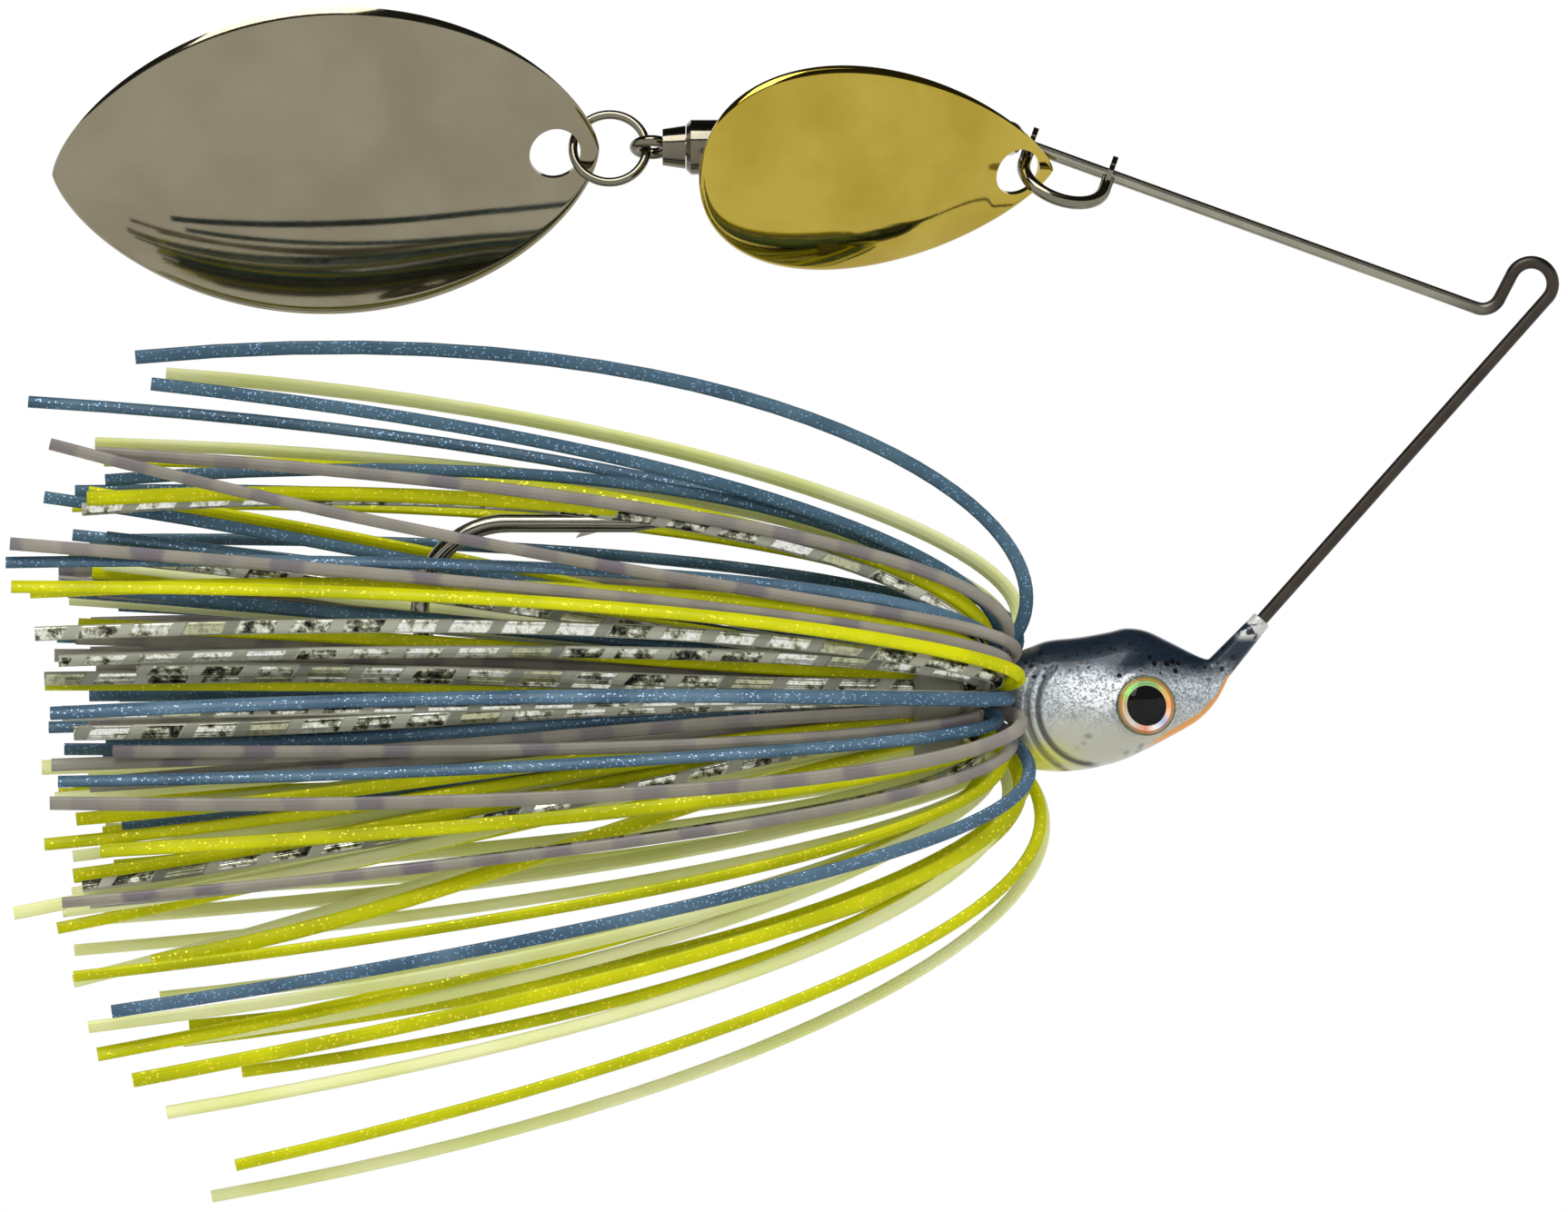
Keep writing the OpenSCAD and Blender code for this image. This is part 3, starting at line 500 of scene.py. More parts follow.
def planned_strands():
    """Each strand's side, layer, rank, colour letter and tails: the CAD ones, then the fillers."""
    strands = [(side, k, j, letters[j], fronts[j], rears[j])
               for side, k, letters, fronts, rears in ROWS for j in range(RANKS)]
    draws = random.Random(FILLER_SEED)
    for inner, over, letters in FILLER_ROWS:
        side, k, _, inner_fronts, inner_rears = ROWS[inner]
        _, _, _, over_fronts, over_rears = ROWS[over]
        for j, letter in enumerate(letters):
            front = filler_tail((inner_fronts, over_fronts), j, FRONT_SPREAD, draws)
            rear = filler_tail((inner_rears, over_rears), j, REAR_SPREAD, draws)
            strands.append((side, k + 0.5, j + 0.5, letter, front, rear))
    return strands


def strand_object(name, lists):
    """The mesh lists as an object, with a UV and the strand's random value for each point."""
    mesh = bpy.data.meshes.new(name)
    mesh.from_pydata([tuple(p) for p in np.asarray(lists["points"]) * MM], [], lists["faces"])
    layer = mesh.uv_layers.new(name="UVMap")
    for loop in mesh.loops:
        layer.data[loop.index].uv = lists["uvs"][loop.vertex_index]
    strand = mesh.attributes.new("strand", "FLOAT", "POINT")
    strand.data.foreach_set("value", lists["seeds"])
    obj = bpy.data.objects.new(name, mesh)
    bpy.context.collection.objects.link(obj)
    return obj


def skirt(letter, name, node, slot, material):
    """All strands of one colour."""
    draws = random.Random(ord(letter))
    lists = {"points": [], "faces": [], "uvs": [], "seeds": []}
    for side, k, j, colour, front, rear in planned_strands():
        if colour == letter:
            path, outs = strand_path(side, k, j, front, rear, draws)
            width = STRAND_W * draws.uniform(*WIDTH_RANGE)
            strand_mesh(path, outs, width, draws.random(), lists)
    obj = strand_object(name, lists)
    outward(obj)
    smooth_by_angle(obj, 50)
    piece(obj, name, "frame", slot, material, node)


# Head casting, with a sleeve up the wire and a keeper neck whose ridge holds the collar on
HEAD_X, HEAD_LEN, HEAD_H, HEAD_W = -34.1299, 14.3, 8.8, 7.5
# Place, top, bottom and half width along the head, as shares of its length, height and width
HEAD_SECTIONS = (
    (0, 0.21, -0.25, 0.24), (0.035, 0.32, -0.42, 0.37), (0.09, 0.37, -0.505, 0.44),
    (0.18, 0.424, -0.54, 0.48), (0.32, 0.45, -0.535, 0.5), (0.46, 0.49, -0.49, 0.487),
    (0.54, 0.518, -0.448, 0.463), (0.63, 0.499, -0.38, 0.42), (0.73, 0.424, -0.295, 0.347),
    (0.87, 0.31, -0.16, 0.22), (0.95, 0.262, -0.023, 0.133), (1, 0.2, 0.125, 0.053),
)
# Shares of the ball, from pole to pole, that become the rear face, the body and the tip of the nose
REAR_CAP, BODY_SHARE, NOSE_CAP = 0.05, 0.93, 0.02
SLEEVE_FOOT, SLEEVE_WAY = Vector((-20.9955, 0, -25.756)), Vector((0.66393, 0, 0.7478))
SLEEVE_R, SLEEVE_LEN = (0.95, 0.63), 5.2
NECK_R, NECK_LEN, NECK_BURIED = 1.5, 6.6, 0.8
RIDGE_H, RIDGE_LEN = 0.28, 0.8
SKIN_GRAIN = 0.085
# Eyes: socket radius and floor, the raised lip round it, and how far behind the floor skin is moved
EYE_R, SOCKET_FLOOR, LIP_WIDE, LIP_RISE, SKIN_BEHIND = 1.97, 0.02, 0.45, 0.16, 1.2
# Place of an eye, as shares of the head's size, and its turn forward and up in degrees
EYE_ALONG, EYE_OUT, EYE_DOWN = 0.622, 0.405, 0.06
EYE_FORWARD, EYE_UP = 14, 9
# Gill grooves: arcs round one point, as radius and the turn from straight back that they span
GILL_X, GILL_Z, GILL_HALF, GILL_DEEP = 5.6, -0.6, 0.3, 0.26
GILLS = ((3.7, -98, 50), (4.45, -72, 36))
GILL_FADE = 14
# Grooves start past this share of the length, on skin that faces sideways at least this much
GILL_START, GILL_FACING = 0.02, 0.15


def eye_frame(side):
    """The place of an eye's socket floor and the way it faces."""
    place = Vector((HEAD_X + EYE_ALONG * HEAD_LEN, side * EYE_OUT * HEAD_W, AXIS_Z - EYE_DOWN * HEAD_H))
    turn = turned(side * -90, "X") @ turned(EYE_FORWARD, "Y") @ turned(side * EYE_UP, "X")
    return Matrix.Translation(place) @ turn


def section_slope(n, column):
    """Slope of one column of the head's sections at row n."""
    after = HEAD_SECTIONS[min(n + 1, len(HEAD_SECTIONS) - 1)]
    before = HEAD_SECTIONS[max(n - 1, 0)]
    return (after[column] - before[column]) / (after[0] - before[0])


def head_section(v):
    """Top, bottom and half width of the head at a share of its length, smooth through the sections."""
    rows = HEAD_SECTIONS
    i = max(n for n in range(len(rows) - 1) if rows[n][0] <= v or n == 0)
    gap = rows[i + 1][0] - rows[i][0]
    t = (v - rows[i][0]) / gap
    return [
        (2 * t**3 - 3 * t**2 + 1) * rows[i][c] + (t**3 - 2 * t**2 + t) * gap * section_slope(i, c)
        + (-2 * t**3 + 3 * t**2) * rows[i + 1][c] + (t**3 - t**2) * gap * section_slope(i + 1, c)
        for c in (1, 2, 3)
    ]


def head_body():
    """A ball pulled out to the head's sections, its poles at the rear face and the nose."""
    clear_selection()
    bpy.ops.mesh.primitive_uv_sphere_add(segments=96, ring_count=110, radius=1)
    body = bpy.context.object
    for vertex in body.data.vertices:
        x, y, z = vertex.co
        q = 1 - math.acos(max(-1, min(1, z))) / math.pi
        angle = math.atan2(y, x)
        v = max(0, min(1, (q - REAR_CAP) / BODY_SHARE))
        shrink = min(1, q / REAR_CAP, (1 - q) / NOSE_CAP)
        top, bottom, half_w = head_section(v)
        vertex.co = MM * Vector((
            HEAD_X + v * HEAD_LEN,
            shrink * HEAD_W * half_w * math.cos(angle),
            AXIS_Z + HEAD_H * ((top + bottom) / 2 + shrink * (top - bottom) / 2 * math.sin(angle)),
        ))
    outward(body)
    return body


def keeper_neck():
    """The neck behind the head, and the two cones of its ridge."""
    face, back = Vector((HEAD_X, 0, AXIS_Z)), Vector((-1, 0, 0))
    crest_r, crest_at = NECK_R + RIDGE_H, NECK_LEN - RIDGE_LEN
    return [
        rod(NECK_R, NECK_R, face - NECK_BURIED * back, back, NECK_BURIED + NECK_LEN),
        rod(NECK_R, crest_r, face + (crest_at - RIDGE_H) * back, back, RIDGE_H),
        rod(crest_r, NECK_R, face + crest_at * back, back, RIDGE_LEN),
    ]


def gill_depth(x, z):
    """How deep the gill grooves are at a point of the head's side."""
    dx, dz = x - HEAD_X - GILL_X, z - AXIS_Z - GILL_Z
    turn = math.degrees(math.atan2(dz, -dx))
    deepest = 0
    for radius, lowest, highest in GILLS:
        away = abs(math.hypot(dx, dz) - radius)
        if away < GILL_HALF and lowest < turn < highest:
            fade = min(1, (turn - lowest) / GILL_FADE, (highest - turn) / GILL_FADE)
            round_share = 0.5 + 0.5 * math.cos(math.pi * away / GILL_HALF)
            deepest = max(deepest, GILL_DEEP * fade * round_share)
    return deepest


def press_socket(p, side):
    """A point of the skin, moved to the eye socket's floor or lip where it lies on one."""
    here = eye_frame(side).inverted() @ p
    r = math.hypot(here.x, here.y)
    if here.z <= -SKIN_BEHIND or side * p.y <= 0 or r >= EYE_R + LIP_WIDE:
        return p
    if r < EYE_R:
        here.z = SOCKET_FLOOR
    else:
        here.z += LIP_RISE * math.cos(0.5 * math.pi * (r - EYE_R) / LIP_WIDE)
    return eye_frame(side) @ here


def carve_head(skin):
    """Presses the gill grooves and the eye sockets into the fine skin of the head."""
    normals = [v.normal.copy() for v in skin.data.vertices]
    for vertex, normal in zip(skin.data.vertices, normals):
        p = vertex.co / MM
        if p.x > HEAD_X + GILL_START * HEAD_LEN and abs(normal.y) > GILL_FACING:
            p -= normal * gill_depth(p.x, p.z)
        for side in (-1, 1):
            p = press_socket(p, side)
        vertex.co = p * MM


def head(material):
    body = head_body()
    parts = [body, rod(*SLEEVE_R, SLEEVE_FOOT, SLEEVE_WAY, SLEEVE_LEN)] + keeper_neck()
    clear_selection()
    for part in parts:
        part.select_set(True)
    bpy.context.view_layer.objects.active = body
    bpy.ops.object.join()
    apply_modifier(body, "REMESH", mode="VOXEL", voxel_size=SKIN_GRAIN * MM, use_smooth_shade=True)
    apply_modifier(body, "SMOOTH", factor=0.5, iterations=6)
    carve_head(body)
    outward(body)
    active(body)
    bpy.ops.object.shade_smooth()
    piece(body, "painted_head", "frame", "painted_head", material, "head")


# Head paint: u runs forward from the head's rear face and h up from its axis, both in millimetres.
# The chin's height along u is kept as grey levels, which hold CHIN_LOW at 0 and CHIN_SPAN above it at 1.
CHIN_REACH, CHIN_LOW, CHIN_SPAN = 16, -5.0, 10.0
CHIN = ((8.2, -4.1), (9.0, -3.4), (10.44, -2.6), (12.44, -1.41), (13.585, -0.2), (14.3, 1.1))
CHIN_LINE = [(u / CHIN_REACH, [(h - CHIN_LOW) / CHIN_SPAN] * 3 + [1]) for u, h in CHIN]
# For each groove, from the grooves' middle: how high and how far ahead its painted shade goes, and its
# depth, which is how dark the painted shade is
GILL_PAINTED_SHADES = ((2.5, 0.6, 0.85), (1.9, -1.2, 0.65))


def paint_sides(look, height, spark):
    """Silver flake on the sides, over a pale belly with ragged smudges."""
    silver = look.mix(spark, srgb(104, 116, 126), srgb(212, 218, 222))
    shifted = look.add("ShaderNodeVectorMath", {0: look.where, 1: look.noise_vector(900, 0.6 * MM)})
    blots = look.cells(1050, shifted.outputs[0])
    few = look.math("LESS_THAN", look.split(blots.outputs["Color"])[2], 0.62)
    smudge = look.product(few, look.step(blots.outputs["Distance"], 0.42, 0.14), 0.6)
    belly = look.mix(smudge, srgb(184, 184, 168), srgb(104, 106, 106))
    return look.mix(look.step(height, 0.2, -2.6), silver, belly)


def paint_side_highlight(look, colour, u, height, spark):
    """A painted highlight, the brightest part of the sides: pearl white behind the eye, broken up by the
    flake.
    """
    band = look.product(look.step(height, -1.2, 0.1), look.step(height, 1.7, 0.7))
    reach = look.product(look.step(u, 9.5, 6.8), look.step(u, 2.4, 5.0))
    # Painted highlight: where the band, the reach and the flake meet, the side is painted near white, as
    # a lamp's reflection would look
    flecked_highlight = look.product(band, reach, look.step(spark, 0.0, 0.7))
    return look.mix(flecked_highlight, colour, srgb(246, 248, 248))


def paint_throat(look, colour, u, height):
    """Chartreuse along the lower rear."""
    throat = look.product(look.step(height, -2.4, -4.0), look.step(u, 6.0, 1.5))
    return look.mix(throat, colour, srgb(206, 206, 60))


def paint_back(look, colour, h, height, spark):
    """Navy with a fine blue flake, and black specks between it and the sides."""
    navy = look.mix(look.product(spark, 0.6), srgb(10, 18, 28), srgb(44, 64, 84))
    colour = look.mix(look.step(height, 0.7, 2.5), colour, navy)
    dots = look.cells(1500)
    chosen = look.math("LESS_THAN", look.split(dots.outputs["Color"])[1], 0.8)
    spot = look.product(chosen, look.step(dots.outputs["Distance"], 0.3, 0.24))
    belt = look.product(look.step(h, 0.7, 1.5), look.step(h, 4.2, 3.2))
    return look.mix(look.product(spot, belt), colour, srgb(6, 8, 14))


def paint_chin(look, colour, u, h):
    """An orange line along the chin and up the front of the sleeve."""
    keel = look.ramp(look.math("DIVIDE", u, CHIN_REACH), CHIN_LINE)
    over = look.math("SUBTRACT", h, look.math("MULTIPLY_ADD", keel, CHIN_SPAN, CHIN_LOW))
    chin = look.product(look.step(over, 0.52, 0.3), look.step(u, 8.6, 10.4))
    ahead = look.math("SUBTRACT", u, look.product(h, 0.95))
    sleeve = look.product(look.step(h, 0.9, 1.3), look.step(ahead, 13.15, 13.4))
    return look.mix(look.math("MAXIMUM", chin, sleeve), colour, srgb(224, 146, 6))


def paint_gill_shade(look, colour, u, h):
    """Painted shade in the gill grooves."""
    du, dh = look.math("SUBTRACT", u, GILL_X), look.math("SUBTRACT", h, GILL_Z)
    ring = look.length(du, dh)
    for (radius, _, _), (rise, ahead, depth) in zip(GILLS, GILL_PAINTED_SHADES):
        away = look.math("ABSOLUTE", look.math("SUBTRACT", ring, radius))
        groove_shade = look.product(look.step(away, 0.26, 0.05), look.step(dh, rise, rise - 0.7),
                              look.step(du, ahead, ahead - 1.0))
        # Painted shade: each groove is painted darker, as shade would fall in it
        colour = look.mix(look.product(groove_shade, depth), colour, srgb(44, 48, 46))
    return colour


def paint_chip(look, colour, u, h):
    """Bare metal where the paint has chipped off the end of the sleeve."""
    end = look.product(look.step(h, 3.6, 4.2), look.step(u, 14.6, 15.4))
    chip = look.product(end, look.step(look.noise(1300), 0.42, 0.5))
    return look.mix(chip, colour, srgb(200, 200, 196))


def head_paint():
    """The coats in the order they are put on, under a thin clear one, with a painted highlight on the
    sides and painted shade in the gill grooves.
    """
    look = Look("Baitfish Paint")
    x, _, z = look.split(look.where)
    u = look.math("MULTIPLY_ADD", x, 1 / MM, -HEAD_X)
    h = look.math("MULTIPLY_ADD", z, 1 / MM, -AXIS_Z)
    drift = look.product(look.math("SUBTRACT", look.noise(420, 4), 0.5), 1.6)
    height = look.total(h, drift)
    spark = look.split(look.cells(9000).outputs["Color"])[0]
    colour = paint_sides(look, height, spark)
    colour = paint_side_highlight(look, colour, u, height, spark)
    colour = paint_throat(look, colour, u, height)
    colour = paint_back(look, colour, h, height, spark)
    colour = paint_chin(look, colour, u, h)
    colour = paint_gill_shade(look, colour, u, h)
    colour = paint_chip(look, colour, u, h)
    look.set(Base_Color=colour, Metallic=look.product(spark, 0.4))
    look.set(Roughness=0.34, Specular_IOR_Level=0.3)
    look.set(Coat_Weight=0.35, Coat_Roughness=0.06, Coat_IOR=1.35)
    look.bump(look.noise(1500), 0.08, 0.02 * MM)
    return look.mat


# Eyes: the colours round the iris, and the dome's foot, edge, rise and room in the socket
HOLO = (
    (0.0, srgb(232, 140, 50)), (0.1, srgb(196, 164, 66)), (0.18, srgb(96, 146, 52)),
    (0.28, srgb(66, 138, 40)), (0.39, srgb(104, 206, 46)), (0.48, srgb(160, 134, 70)),
    (0.64, srgb(196, 190, 184)), (0.74, srgb(228, 120, 70)), (0.8, srgb(244, 240, 236)),
    (0.88, srgb(150, 168, 226)), (0.95, srgb(238, 190, 150)), (1.0, srgb(232, 140, 50)),
)
DOME_FOOT, DOME_EDGE, DOME_RISE, DOME_ROOM = 0.315, 0.42, 0.55, 0.02


def eye_print(side, name):
    """A black pupil in a holographic iris, with a brown edge and a dull rim."""
    look = Look(name)
    inverse = eye_frame(side)
    inverse.translation *= MM
    inverse.invert()
    place = look.add("ShaderNodeMapping", {"Vector": look.where, "Location": inverse.translation,
                                           "Rotation": inverse.to_euler()})
    px, py, _ = look.split(place.outputs[0])
    radius = look.math("DIVIDE", look.length(px, py), MM)
    turn = look.math("DIVIDE", look.math("ARCTAN2", py, px), 2 * math.pi)
    holo = look.ramp(look.math("FRACT", look.total(turn, 1.0)), HOLO)
    fine = look.math("SINE", look.product(radius, 34.0))
    holo = look.mix(look.math("MULTIPLY_ADD", fine, 0.12, 0.14), holo, srgb(250, 246, 232))
    pupil = look.step(radius, 1.34, 1.26)
    edge = look.product(look.step(radius, 1.62, 1.68), look.step(radius, 1.8, 1.74))
    rim = look.step(radius, 1.76, 1.82)
    colour = look.mix(pupil, holo, srgb(4, 4, 5))
    colour = look.mix(edge, colour, srgb(178, 110, 50))
    colour = look.mix(rim, colour, srgb(112, 108, 74))
    look.set(Base_Color=colour, Metallic=look.math("SUBTRACT", 0.5, look.product(pupil, 0.5)))
    look.set(Roughness=0.25, Specular_IOR_Level=0.05)
    return look.mat


def drop_foot(obj, down):
    """Deletes the faces that look down, so that the lens is bonded to the print with no air between."""
    active(obj)
    bpy.ops.object.mode_set(mode="EDIT")
    bpy.ops.mesh.select_all(action="DESELECT")
    bpy.ops.object.mode_set(mode="OBJECT")
    for face in obj.data.polygons:
        face.select = face.normal.dot(down) > 0.9
    bpy.ops.object.mode_set(mode="EDIT")
    bpy.ops.mesh.delete(type="FACE")
    bpy.ops.object.mode_set(mode="OBJECT")


def eye_dome(side, name, node, material):
    """A ball pressed to a clear dome that sits just above the printed disc."""
    radius = EYE_R - DOME_ROOM
    clear_selection()
    bpy.ops.mesh.primitive_uv_sphere_add(segments=64, ring_count=32, radius=1)
    obj = bpy.context.object
    for vertex in obj.data.vertices:
        x, y, z = vertex.co
        top = DOME_EDGE + DOME_RISE * (1 - x * x - y * y)
        lift = top if z > -0.01 else DOME_FOOT
        vertex.co = MM * (eye_frame(side) @ Vector((radius * x, radius * y, lift)))
    outward(obj)
    smooth_by_angle(obj, 50)
    drop_foot(obj, -eye_frame(side).col[2].to_3d())
    piece(obj, name, "frame", "eye_clear", material, node)


def eye_clear():
    look = Look("Clear Eye Resin")
    tint = look.mix(look.noise(300), (0.93, 0.94, 0.92, 1), (1, 1, 1, 1))
    look.set(Base_Color=tint, Roughness=0.02, IOR=1.25, Transmission_Weight=1.0)
    return look.mat


def rubber_look():
    look = Look("Collar Rubber")
    tint = look.mix(look.noise(400), srgb(96, 98, 84), srgb(126, 126, 104))
    look.set(Base_Color=tint, Roughness=0.5)
    return look.mat


# Blades: thickness, the share of it left at the rim, room added to the holes, and the length of the punch
BLADE_T, RIM_THIN, HOLE_ROOM, PUNCH_LEN = 0.5, 0.3, 0.07, 8
# Rows of the grid crowd toward the rim, and its end rows stop this share of the length short
ROW_CROWD, END_SHORT = 0.4, 0.0001
# The dish's depth follows the outline's square up to FLAT_END, and the outline itself FLAT_FADE later
FLAT_END, FLAT_FADE = 0.18, 0.25
# The rim is the band over which the blade thins, and swell and close are the outline's powers
GOLD_BLADE = {
    "length": 24, "width": 14.2, "dish": 2.5, "swell": 0.75, "close": 0.44,
    "hole_d": 3, "hole_at": 2.6, "rim": 0.42,
}
NICKEL_BLADE = {
    "length": 35.6, "width": 21, "dish": 2.4, "swell": 0.64, "close": 0.68,
    "hole_d": 3.2, "hole_at": 2.9, "rim": 0.8,
}
# The front blade hangs at the end of the clevis bow, its hole's middle off the bow by HOLE_OFF
BOW_END = (-33.0605, -1.6383, 7.88181)
FRONT_OUT, FRONT_ROLL, FRONT_HANG, HOLE_OFF = 18, 23, 45, 0.752676
# The rear blade's distance from the wire's loop along the swivel, and its turn about the swivel's axis
REAR_AT, REAR_TURN = 17.87, -110
# The ring hangs this far along the swivel, rolled with the swivel's front eye, and droops there
RING_AT, RING_ROLL, REAR_DROOP = 12.615, 22, 3


def outline(v, swell, close):
    """A blade's width at a share of its length, as a share of its widest."""
    peak = swell / (swell + close)
    scale = peak**swell * (1 - peak)**close
    return v**swell * (1 - v)**close / scale


def bore(obj, radius):
    """Punches a round hole through the blade at its origin."""
    punch = rod(radius, radius, Vector((-PUNCH_LEN / 2, 0, 0)), Vector((1, 0, 0)), PUNCH_LEN)
    apply_modifier(obj, "BOOLEAN", operation="DIFFERENCE", object=punch, solver="EXACT")
    bpy.data.objects.remove(punch)


def blade(place, length, width, dish, swell, close, hole_d, hole_at, rim):
    """A flat grid pulled to the blade's outline and dish, thickened less at the rim, and bored."""
    edge_rise = dish * outline((hole_at - hole_d / 2) / length, swell, close) ** 2
    clear_selection()
    bpy.ops.mesh.primitive_grid_add(x_subdivisions=56, y_subdivisions=120, size=2)
    obj = bpy.context.object
    body = obj.vertex_groups.new(name="Body")
    for vertex in obj.data.vertices:
        x, y, _ = vertex.co
        s = x * (1 + ROW_CROWD - ROW_CROWD * x**2)
        along = (1 - math.cos(math.pi * (y + 1) / 2)) / 2
        v = min(1 - END_SHORT, max(END_SHORT, along))
        wide = outline(v, swell, close)
        half = width / 2 * wide
        full = min(1, max(0, (v - FLAT_END) / FLAT_FADE))
        rise = dish * wide ** (2 - full) * (1 - s * s) - edge_rise
        vertex.co = MM * Vector((rise, s * half, v * length - hole_at))
        inset = min(1, half * (1 - abs(s)) / rim)
        body.add([vertex.index], 1 - (1 - inset) ** 2, "REPLACE")
    apply_modifier(obj, "SOLIDIFY", thickness=BLADE_T * MM, offset=0, vertex_group="Body",
                   thickness_vertex_group=RIM_THIN)
    bore(obj, hole_d / 2 + HOLE_ROOM)
    outward(obj)
    obj.data.transform(place)
    smooth_by_angle(obj, 40)
    return obj


def front_blade(material):
    hang = math.radians(FRONT_HANG)
    place = (moved(*BOW_END) @ turned(FRONT_OUT, "Z") @ turned(-90, "Z") @ turned(90, "X")
             @ turned(-FRONT_ROLL, "Z") @ moved(0, -HOLE_OFF * math.sin(hang), HOLE_OFF * math.cos(hang)))
    obj = blade(place, **GOLD_BLADE)
    piece(obj, "gold_front_blade", "front_blade", "gold_plate", material, "front_blade")


def rear_blade(material):
    hang = LOOP - Vector((RING_AT, 0, 0))
    rolled = moved(*LOOP) @ turned(-RING_ROLL, "X") @ moved(*-LOOP)
    droop = rolled @ moved(*hang) @ turned(-REAR_DROOP, "Y") @ moved(*-hang) @ rolled.inverted()
    place = droop @ moved(*LOOP) @ turned(-90, "Y") @ moved(0, 0, REAR_AT) @ turned(REAR_TURN, "Z")
    obj = blade(place, **NICKEL_BLADE)
    piece(obj, "nickel_rear_blade", "rear_blade", "nickel_plate", material, "rear_blade")


# Finish of a CAD piece
def finish_node(node, material):
    for held in NODES[node].material_slots:
        held.material = material


# Studio, in metres
FLOOR_AT, FLOOR_R, FLOOR_GLOW = (-0.048, 0, -0.075), 0.2, 0.8
# Lamps: place seen from the lure's middle, size and power
LURE_MIDDLE = Vector((-0.048, 0, -0.021))
LAMPS = (
    ("Key Lamp", (-0.15, -0.45, 0.65), 0.5, 4.4),
    ("Fill Lamp", (0.50, -0.60, 0.05), 0.62, 1.2),
    ("Back Lamp", (-0.10, 0.55, 0.45), 0.5, 1.0),
)
# Dark flags that only mirrors see: a ring overhead, and a sheet over and behind the lure
RING_IN, RING_OUT, RING_HIGH, RING_SIDES = 0.6, 2.0, 1.0, 64
SHEET_AT, SHEET_SIZE = (-0.048, 0.15, 0.6), (1.6, 0.7, 1)
# White as the camera, mirrors and clear pieces see it, and the dimmer light that falls on the lure
WHITE_SEEN, WHITE_LIGHT = 1.0, 0.5
# The photo's middle and the width it shows at the lure
PHOTO_X, PHOTO_Z, PHOTO_WIDE = -0.048706, -0.021, 0.1022
LENS, SENSOR, FAR_CLIP = 400, 36, 10


def studio_floor():
    """A pale disc that keeps the shadow, and glows for the camera and for mirrors."""
    clear_selection()
    bpy.ops.mesh.primitive_circle_add(vertices=96, radius=FLOOR_R, fill_type="NGON", location=FLOOR_AT)
    floor = bpy.context.object
    floor.name = "studio_floor"
    look = Look("Pale Floor")
    look.set(Base_Color=(0.85, 0.85, 0.85, 1), Roughness=0.8)
    rays = look.add("ShaderNodeLightPath").outputs
    glow = look.add("ShaderNodeEmission", {0: (1, 1, 1, 1), 1: 1.0})
    seen = look.math("MAXIMUM", rays["Is Camera Ray"], rays["Is Glossy Ray"])
    share = look.product(seen, FLOOR_GLOW)
    both = look.add("ShaderNodeMixShader", {0: share, 1: look.bsdf.outputs[0], 2: glow.outputs[0]})
    look.feed(look.tree.nodes["Material Output"].inputs[0], both.outputs[0])
    floor.data.materials.append(look.mat)


def lamps():
    """Soft square lamps that face the lure's middle. Mirrors see only the key lamp."""
    for name, spot, size, power in LAMPS:
        data = bpy.data.lights.new(name, "AREA")
        data.size, data.energy = size, power
        lamp = bpy.data.objects.new(name, data)
        lamp.location = LURE_MIDDLE + Vector(spot)
        lamp.rotation_euler = (-Vector(spot)).to_track_quat("-Z", "Y").to_euler()
        lamp.visible_camera = False
        lamp.visible_glossy = name == "Key Lamp"
        bpy.context.collection.objects.link(lamp)


def ring_flag():
    clear_selection()
    bpy.ops.mesh.primitive_circle_add(vertices=RING_SIDES, radius=RING_OUT, fill_type="NGON")
    flag = bpy.context.object
    bpy.ops.object.mode_set(mode="EDIT")
    bpy.ops.mesh.select_all(action="SELECT")
    bpy.ops.mesh.inset(thickness=(RING_OUT - RING_IN) * math.cos(math.pi / RING_SIDES))
    bpy.ops.mesh.delete(type="FACE")
    bpy.ops.object.mode_set(mode="OBJECT")
    flag.data.transform(Matrix.Translation((0, 0, RING_HIGH)))
    flag.name = "ring_flag"
    return flag


def top_flag():
    clear_selection()
    bpy.ops.mesh.primitive_plane_add(size=1)
    flag = bpy.context.object
    flag.data.transform(Matrix.Translation(SHEET_AT) @ Matrix.Diagonal((*SHEET_SIZE, 1)))
    flag.name = "top_flag"
    return flag


def flags():
    """The dark flags, which give polished rims and wires their dark lines."""
    dark = Look("Dark Flag")
    dark.set(Base_Color=(0.03, 0.03, 0.03, 1), Roughness=1.0)
    for flag in (ring_flag(), top_flag()):
        flag.visible_camera = flag.visible_diffuse = False
        flag.visible_shadow = flag.visible_transmission = False
        flag.data.materials.append(dark.mat)


def backdrop():
    """A white world."""
    world = bpy.data.worlds.new("Studio")
    bpy.context.scene.world = world
    world.use_nodes = True
    tree = world.node_tree
    back = tree.nodes["Background"]
    back.inputs[0].default_value = (1, 1, 1, 1)
    rays = tree.nodes.new("ShaderNodeLightPath")
    seen = rays.outputs["Is Camera Ray"]
    for other in ("Is Glossy Ray", "Is Transmission Ray"):
        most = tree.nodes.new("ShaderNodeMath")
        most.operation = "MAXIMUM"
        tree.links.new(seen, most.inputs[0])
        tree.links.new(rays.outputs[other], most.inputs[1])
        seen = most.outputs[0]
    level = tree.nodes.new("ShaderNodeMapRange")
    level.inputs[3].default_value = WHITE_LIGHT
    level.inputs[4].default_value = WHITE_SEEN
    tree.links.new(seen, level.inputs[0])
    tree.links.new(level.outputs[0], back.inputs[1])


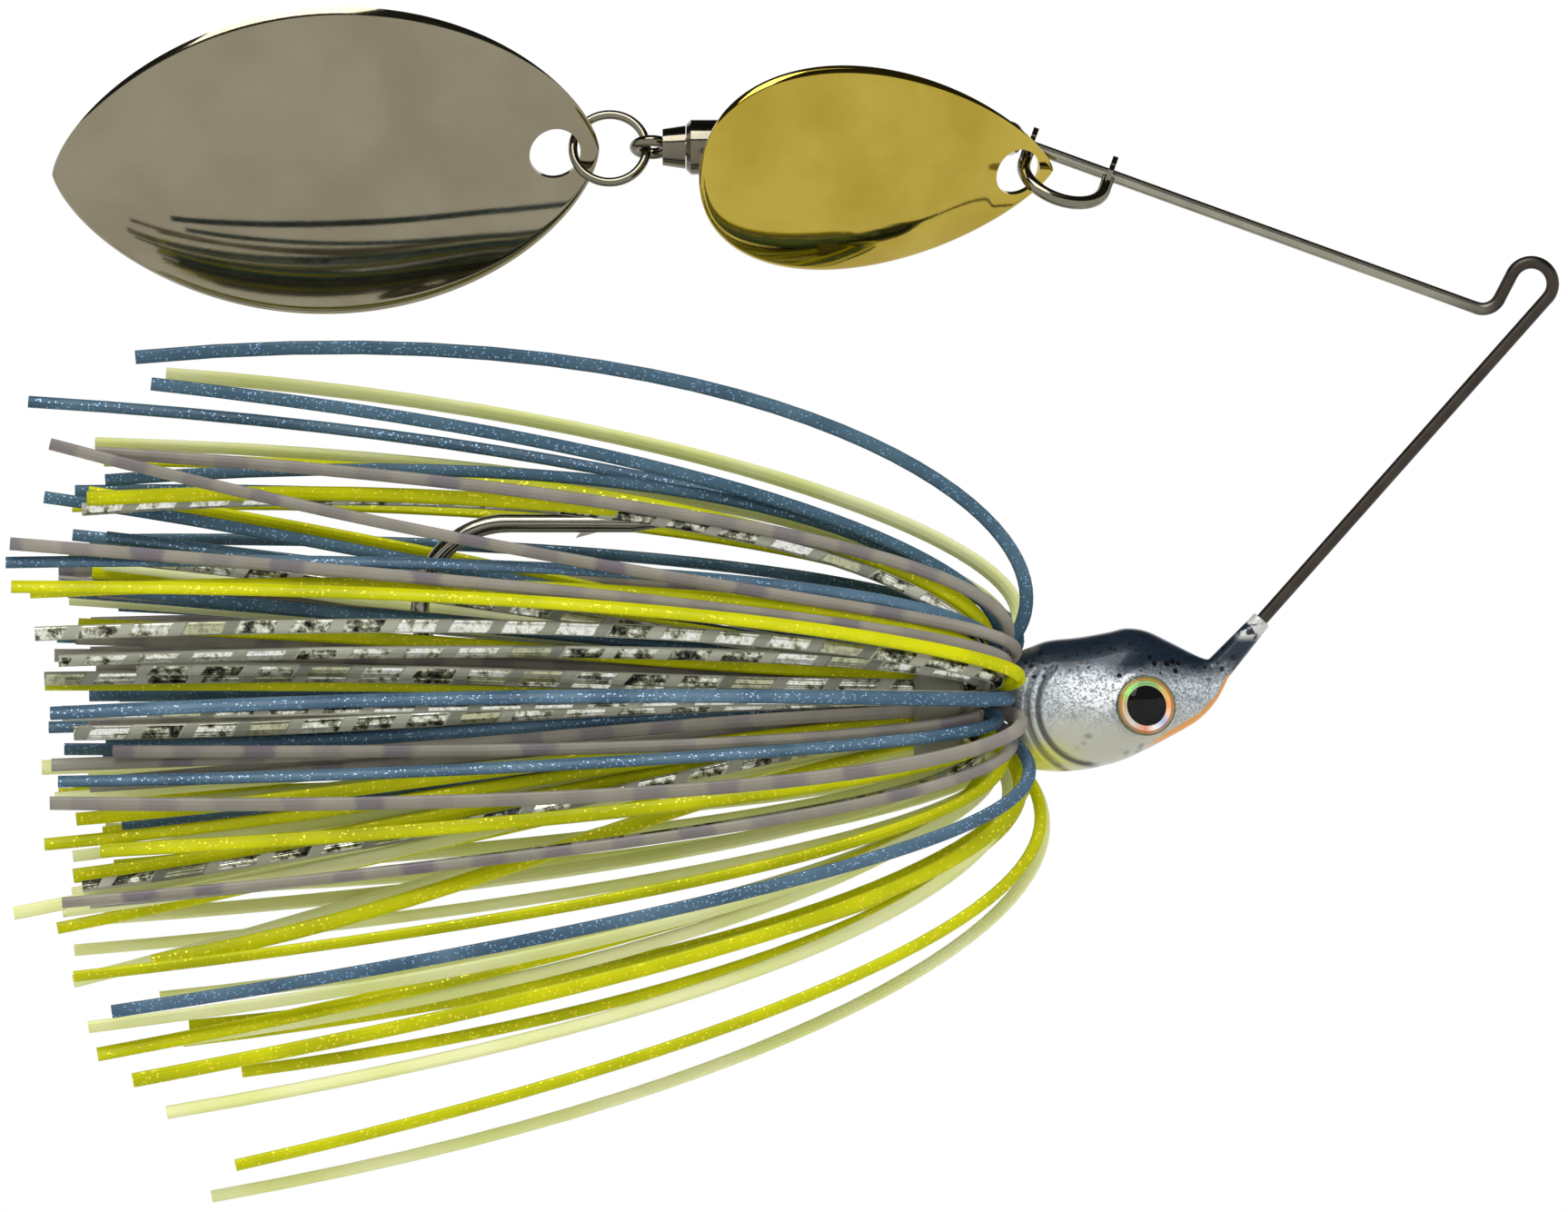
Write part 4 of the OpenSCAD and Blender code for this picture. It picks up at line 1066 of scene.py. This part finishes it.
def photo_camera():
    """A long lens square to the side that the photo shows."""
    data = bpy.data.cameras.new("Photo Camera")
    data.lens, data.sensor_width, data.clip_end = LENS, SENSOR, FAR_CLIP
    camera = bpy.data.objects.new("Photo Camera", data)
    camera.location = (PHOTO_X, -PHOTO_WIDE * LENS / SENSOR, PHOTO_Z)
    camera.rotation_euler = (math.pi / 2, 0, 0)
    bpy.context.collection.objects.link(camera)
    bpy.context.scene.camera = camera
    bpy.context.scene.view_settings.view_transform = "Standard"


# Plated finishes
nickel = plated("Nickel Plate", srgb(144, 137, 116), srgb(135, 127, 106), 0.05, 0.1)
gold = plated("Gold Plate", srgb(186, 165, 72), srgb(172, 149, 57), 0.04, 0.06)
bright = plated("Bright Wire", srgb(130, 126, 110), srgb(108, 104, 91), 0.08, 0.05)
swivel = plated("Swivel Nickel", srgb(118, 113, 97), srgb(98, 93, 80), 0.08, 0.05)
bead = plated("Bead Nickel", srgb(204, 200, 192), srgb(184, 180, 172), 0.08, 0.03)
hook_steel = plated("Hook Steel", srgb(150, 145, 134), srgb(122, 117, 107), 0.1, 0.05)

# New pieces
skirt("B", "blue_strands", "skirt_blue", "silicone_blue", blue_silicone())
skirt("C", "chartreuse_strands", "skirt_chartreuse", "silicone_chartreuse", chartreuse_silicone())
skirt("P", "pale_strands", "skirt_pale", "silicone_pale", pale_silicone())
skirt("S", "smoke_strands", "skirt_smoke", "silicone_smoke", smoke_silicone())
skirt("F", "foil_strands", "skirt_foil", "silicone_foil", foil_silicone())
head(head_paint())
front_blade(gold)
rear_blade(nickel)
clear = eye_clear()
eye_dome(-1, "left_eye_lens", "left_eye_dome", clear)
eye_dome(1, "right_eye_lens", "right_eye_dome", clear)

# CAD pieces that keep their shape
finish_node("wire_frame", spring_wire_look())
finish_node("hook", hook_steel)
finish_node("skirt_collar", rubber_look())
finish_node("left_eye_disc", eye_print(-1, "Left Eye Print"))
finish_node("right_eye_disc", eye_print(1, "Right Eye Print"))
for node in ("clevis", "blade_ring", "swivel_back_eye"):
    finish_node(node, bright)
for node in ("swivel_barrel", "swivel_balls", "swivel_front_eye"):
    finish_node(node, swivel)
for node in ("bead_1", "bead_2", "bead_3"):
    finish_node(node, bead)

# Studio
studio_floor()
lamps()
flags()
backdrop()
photo_camera()
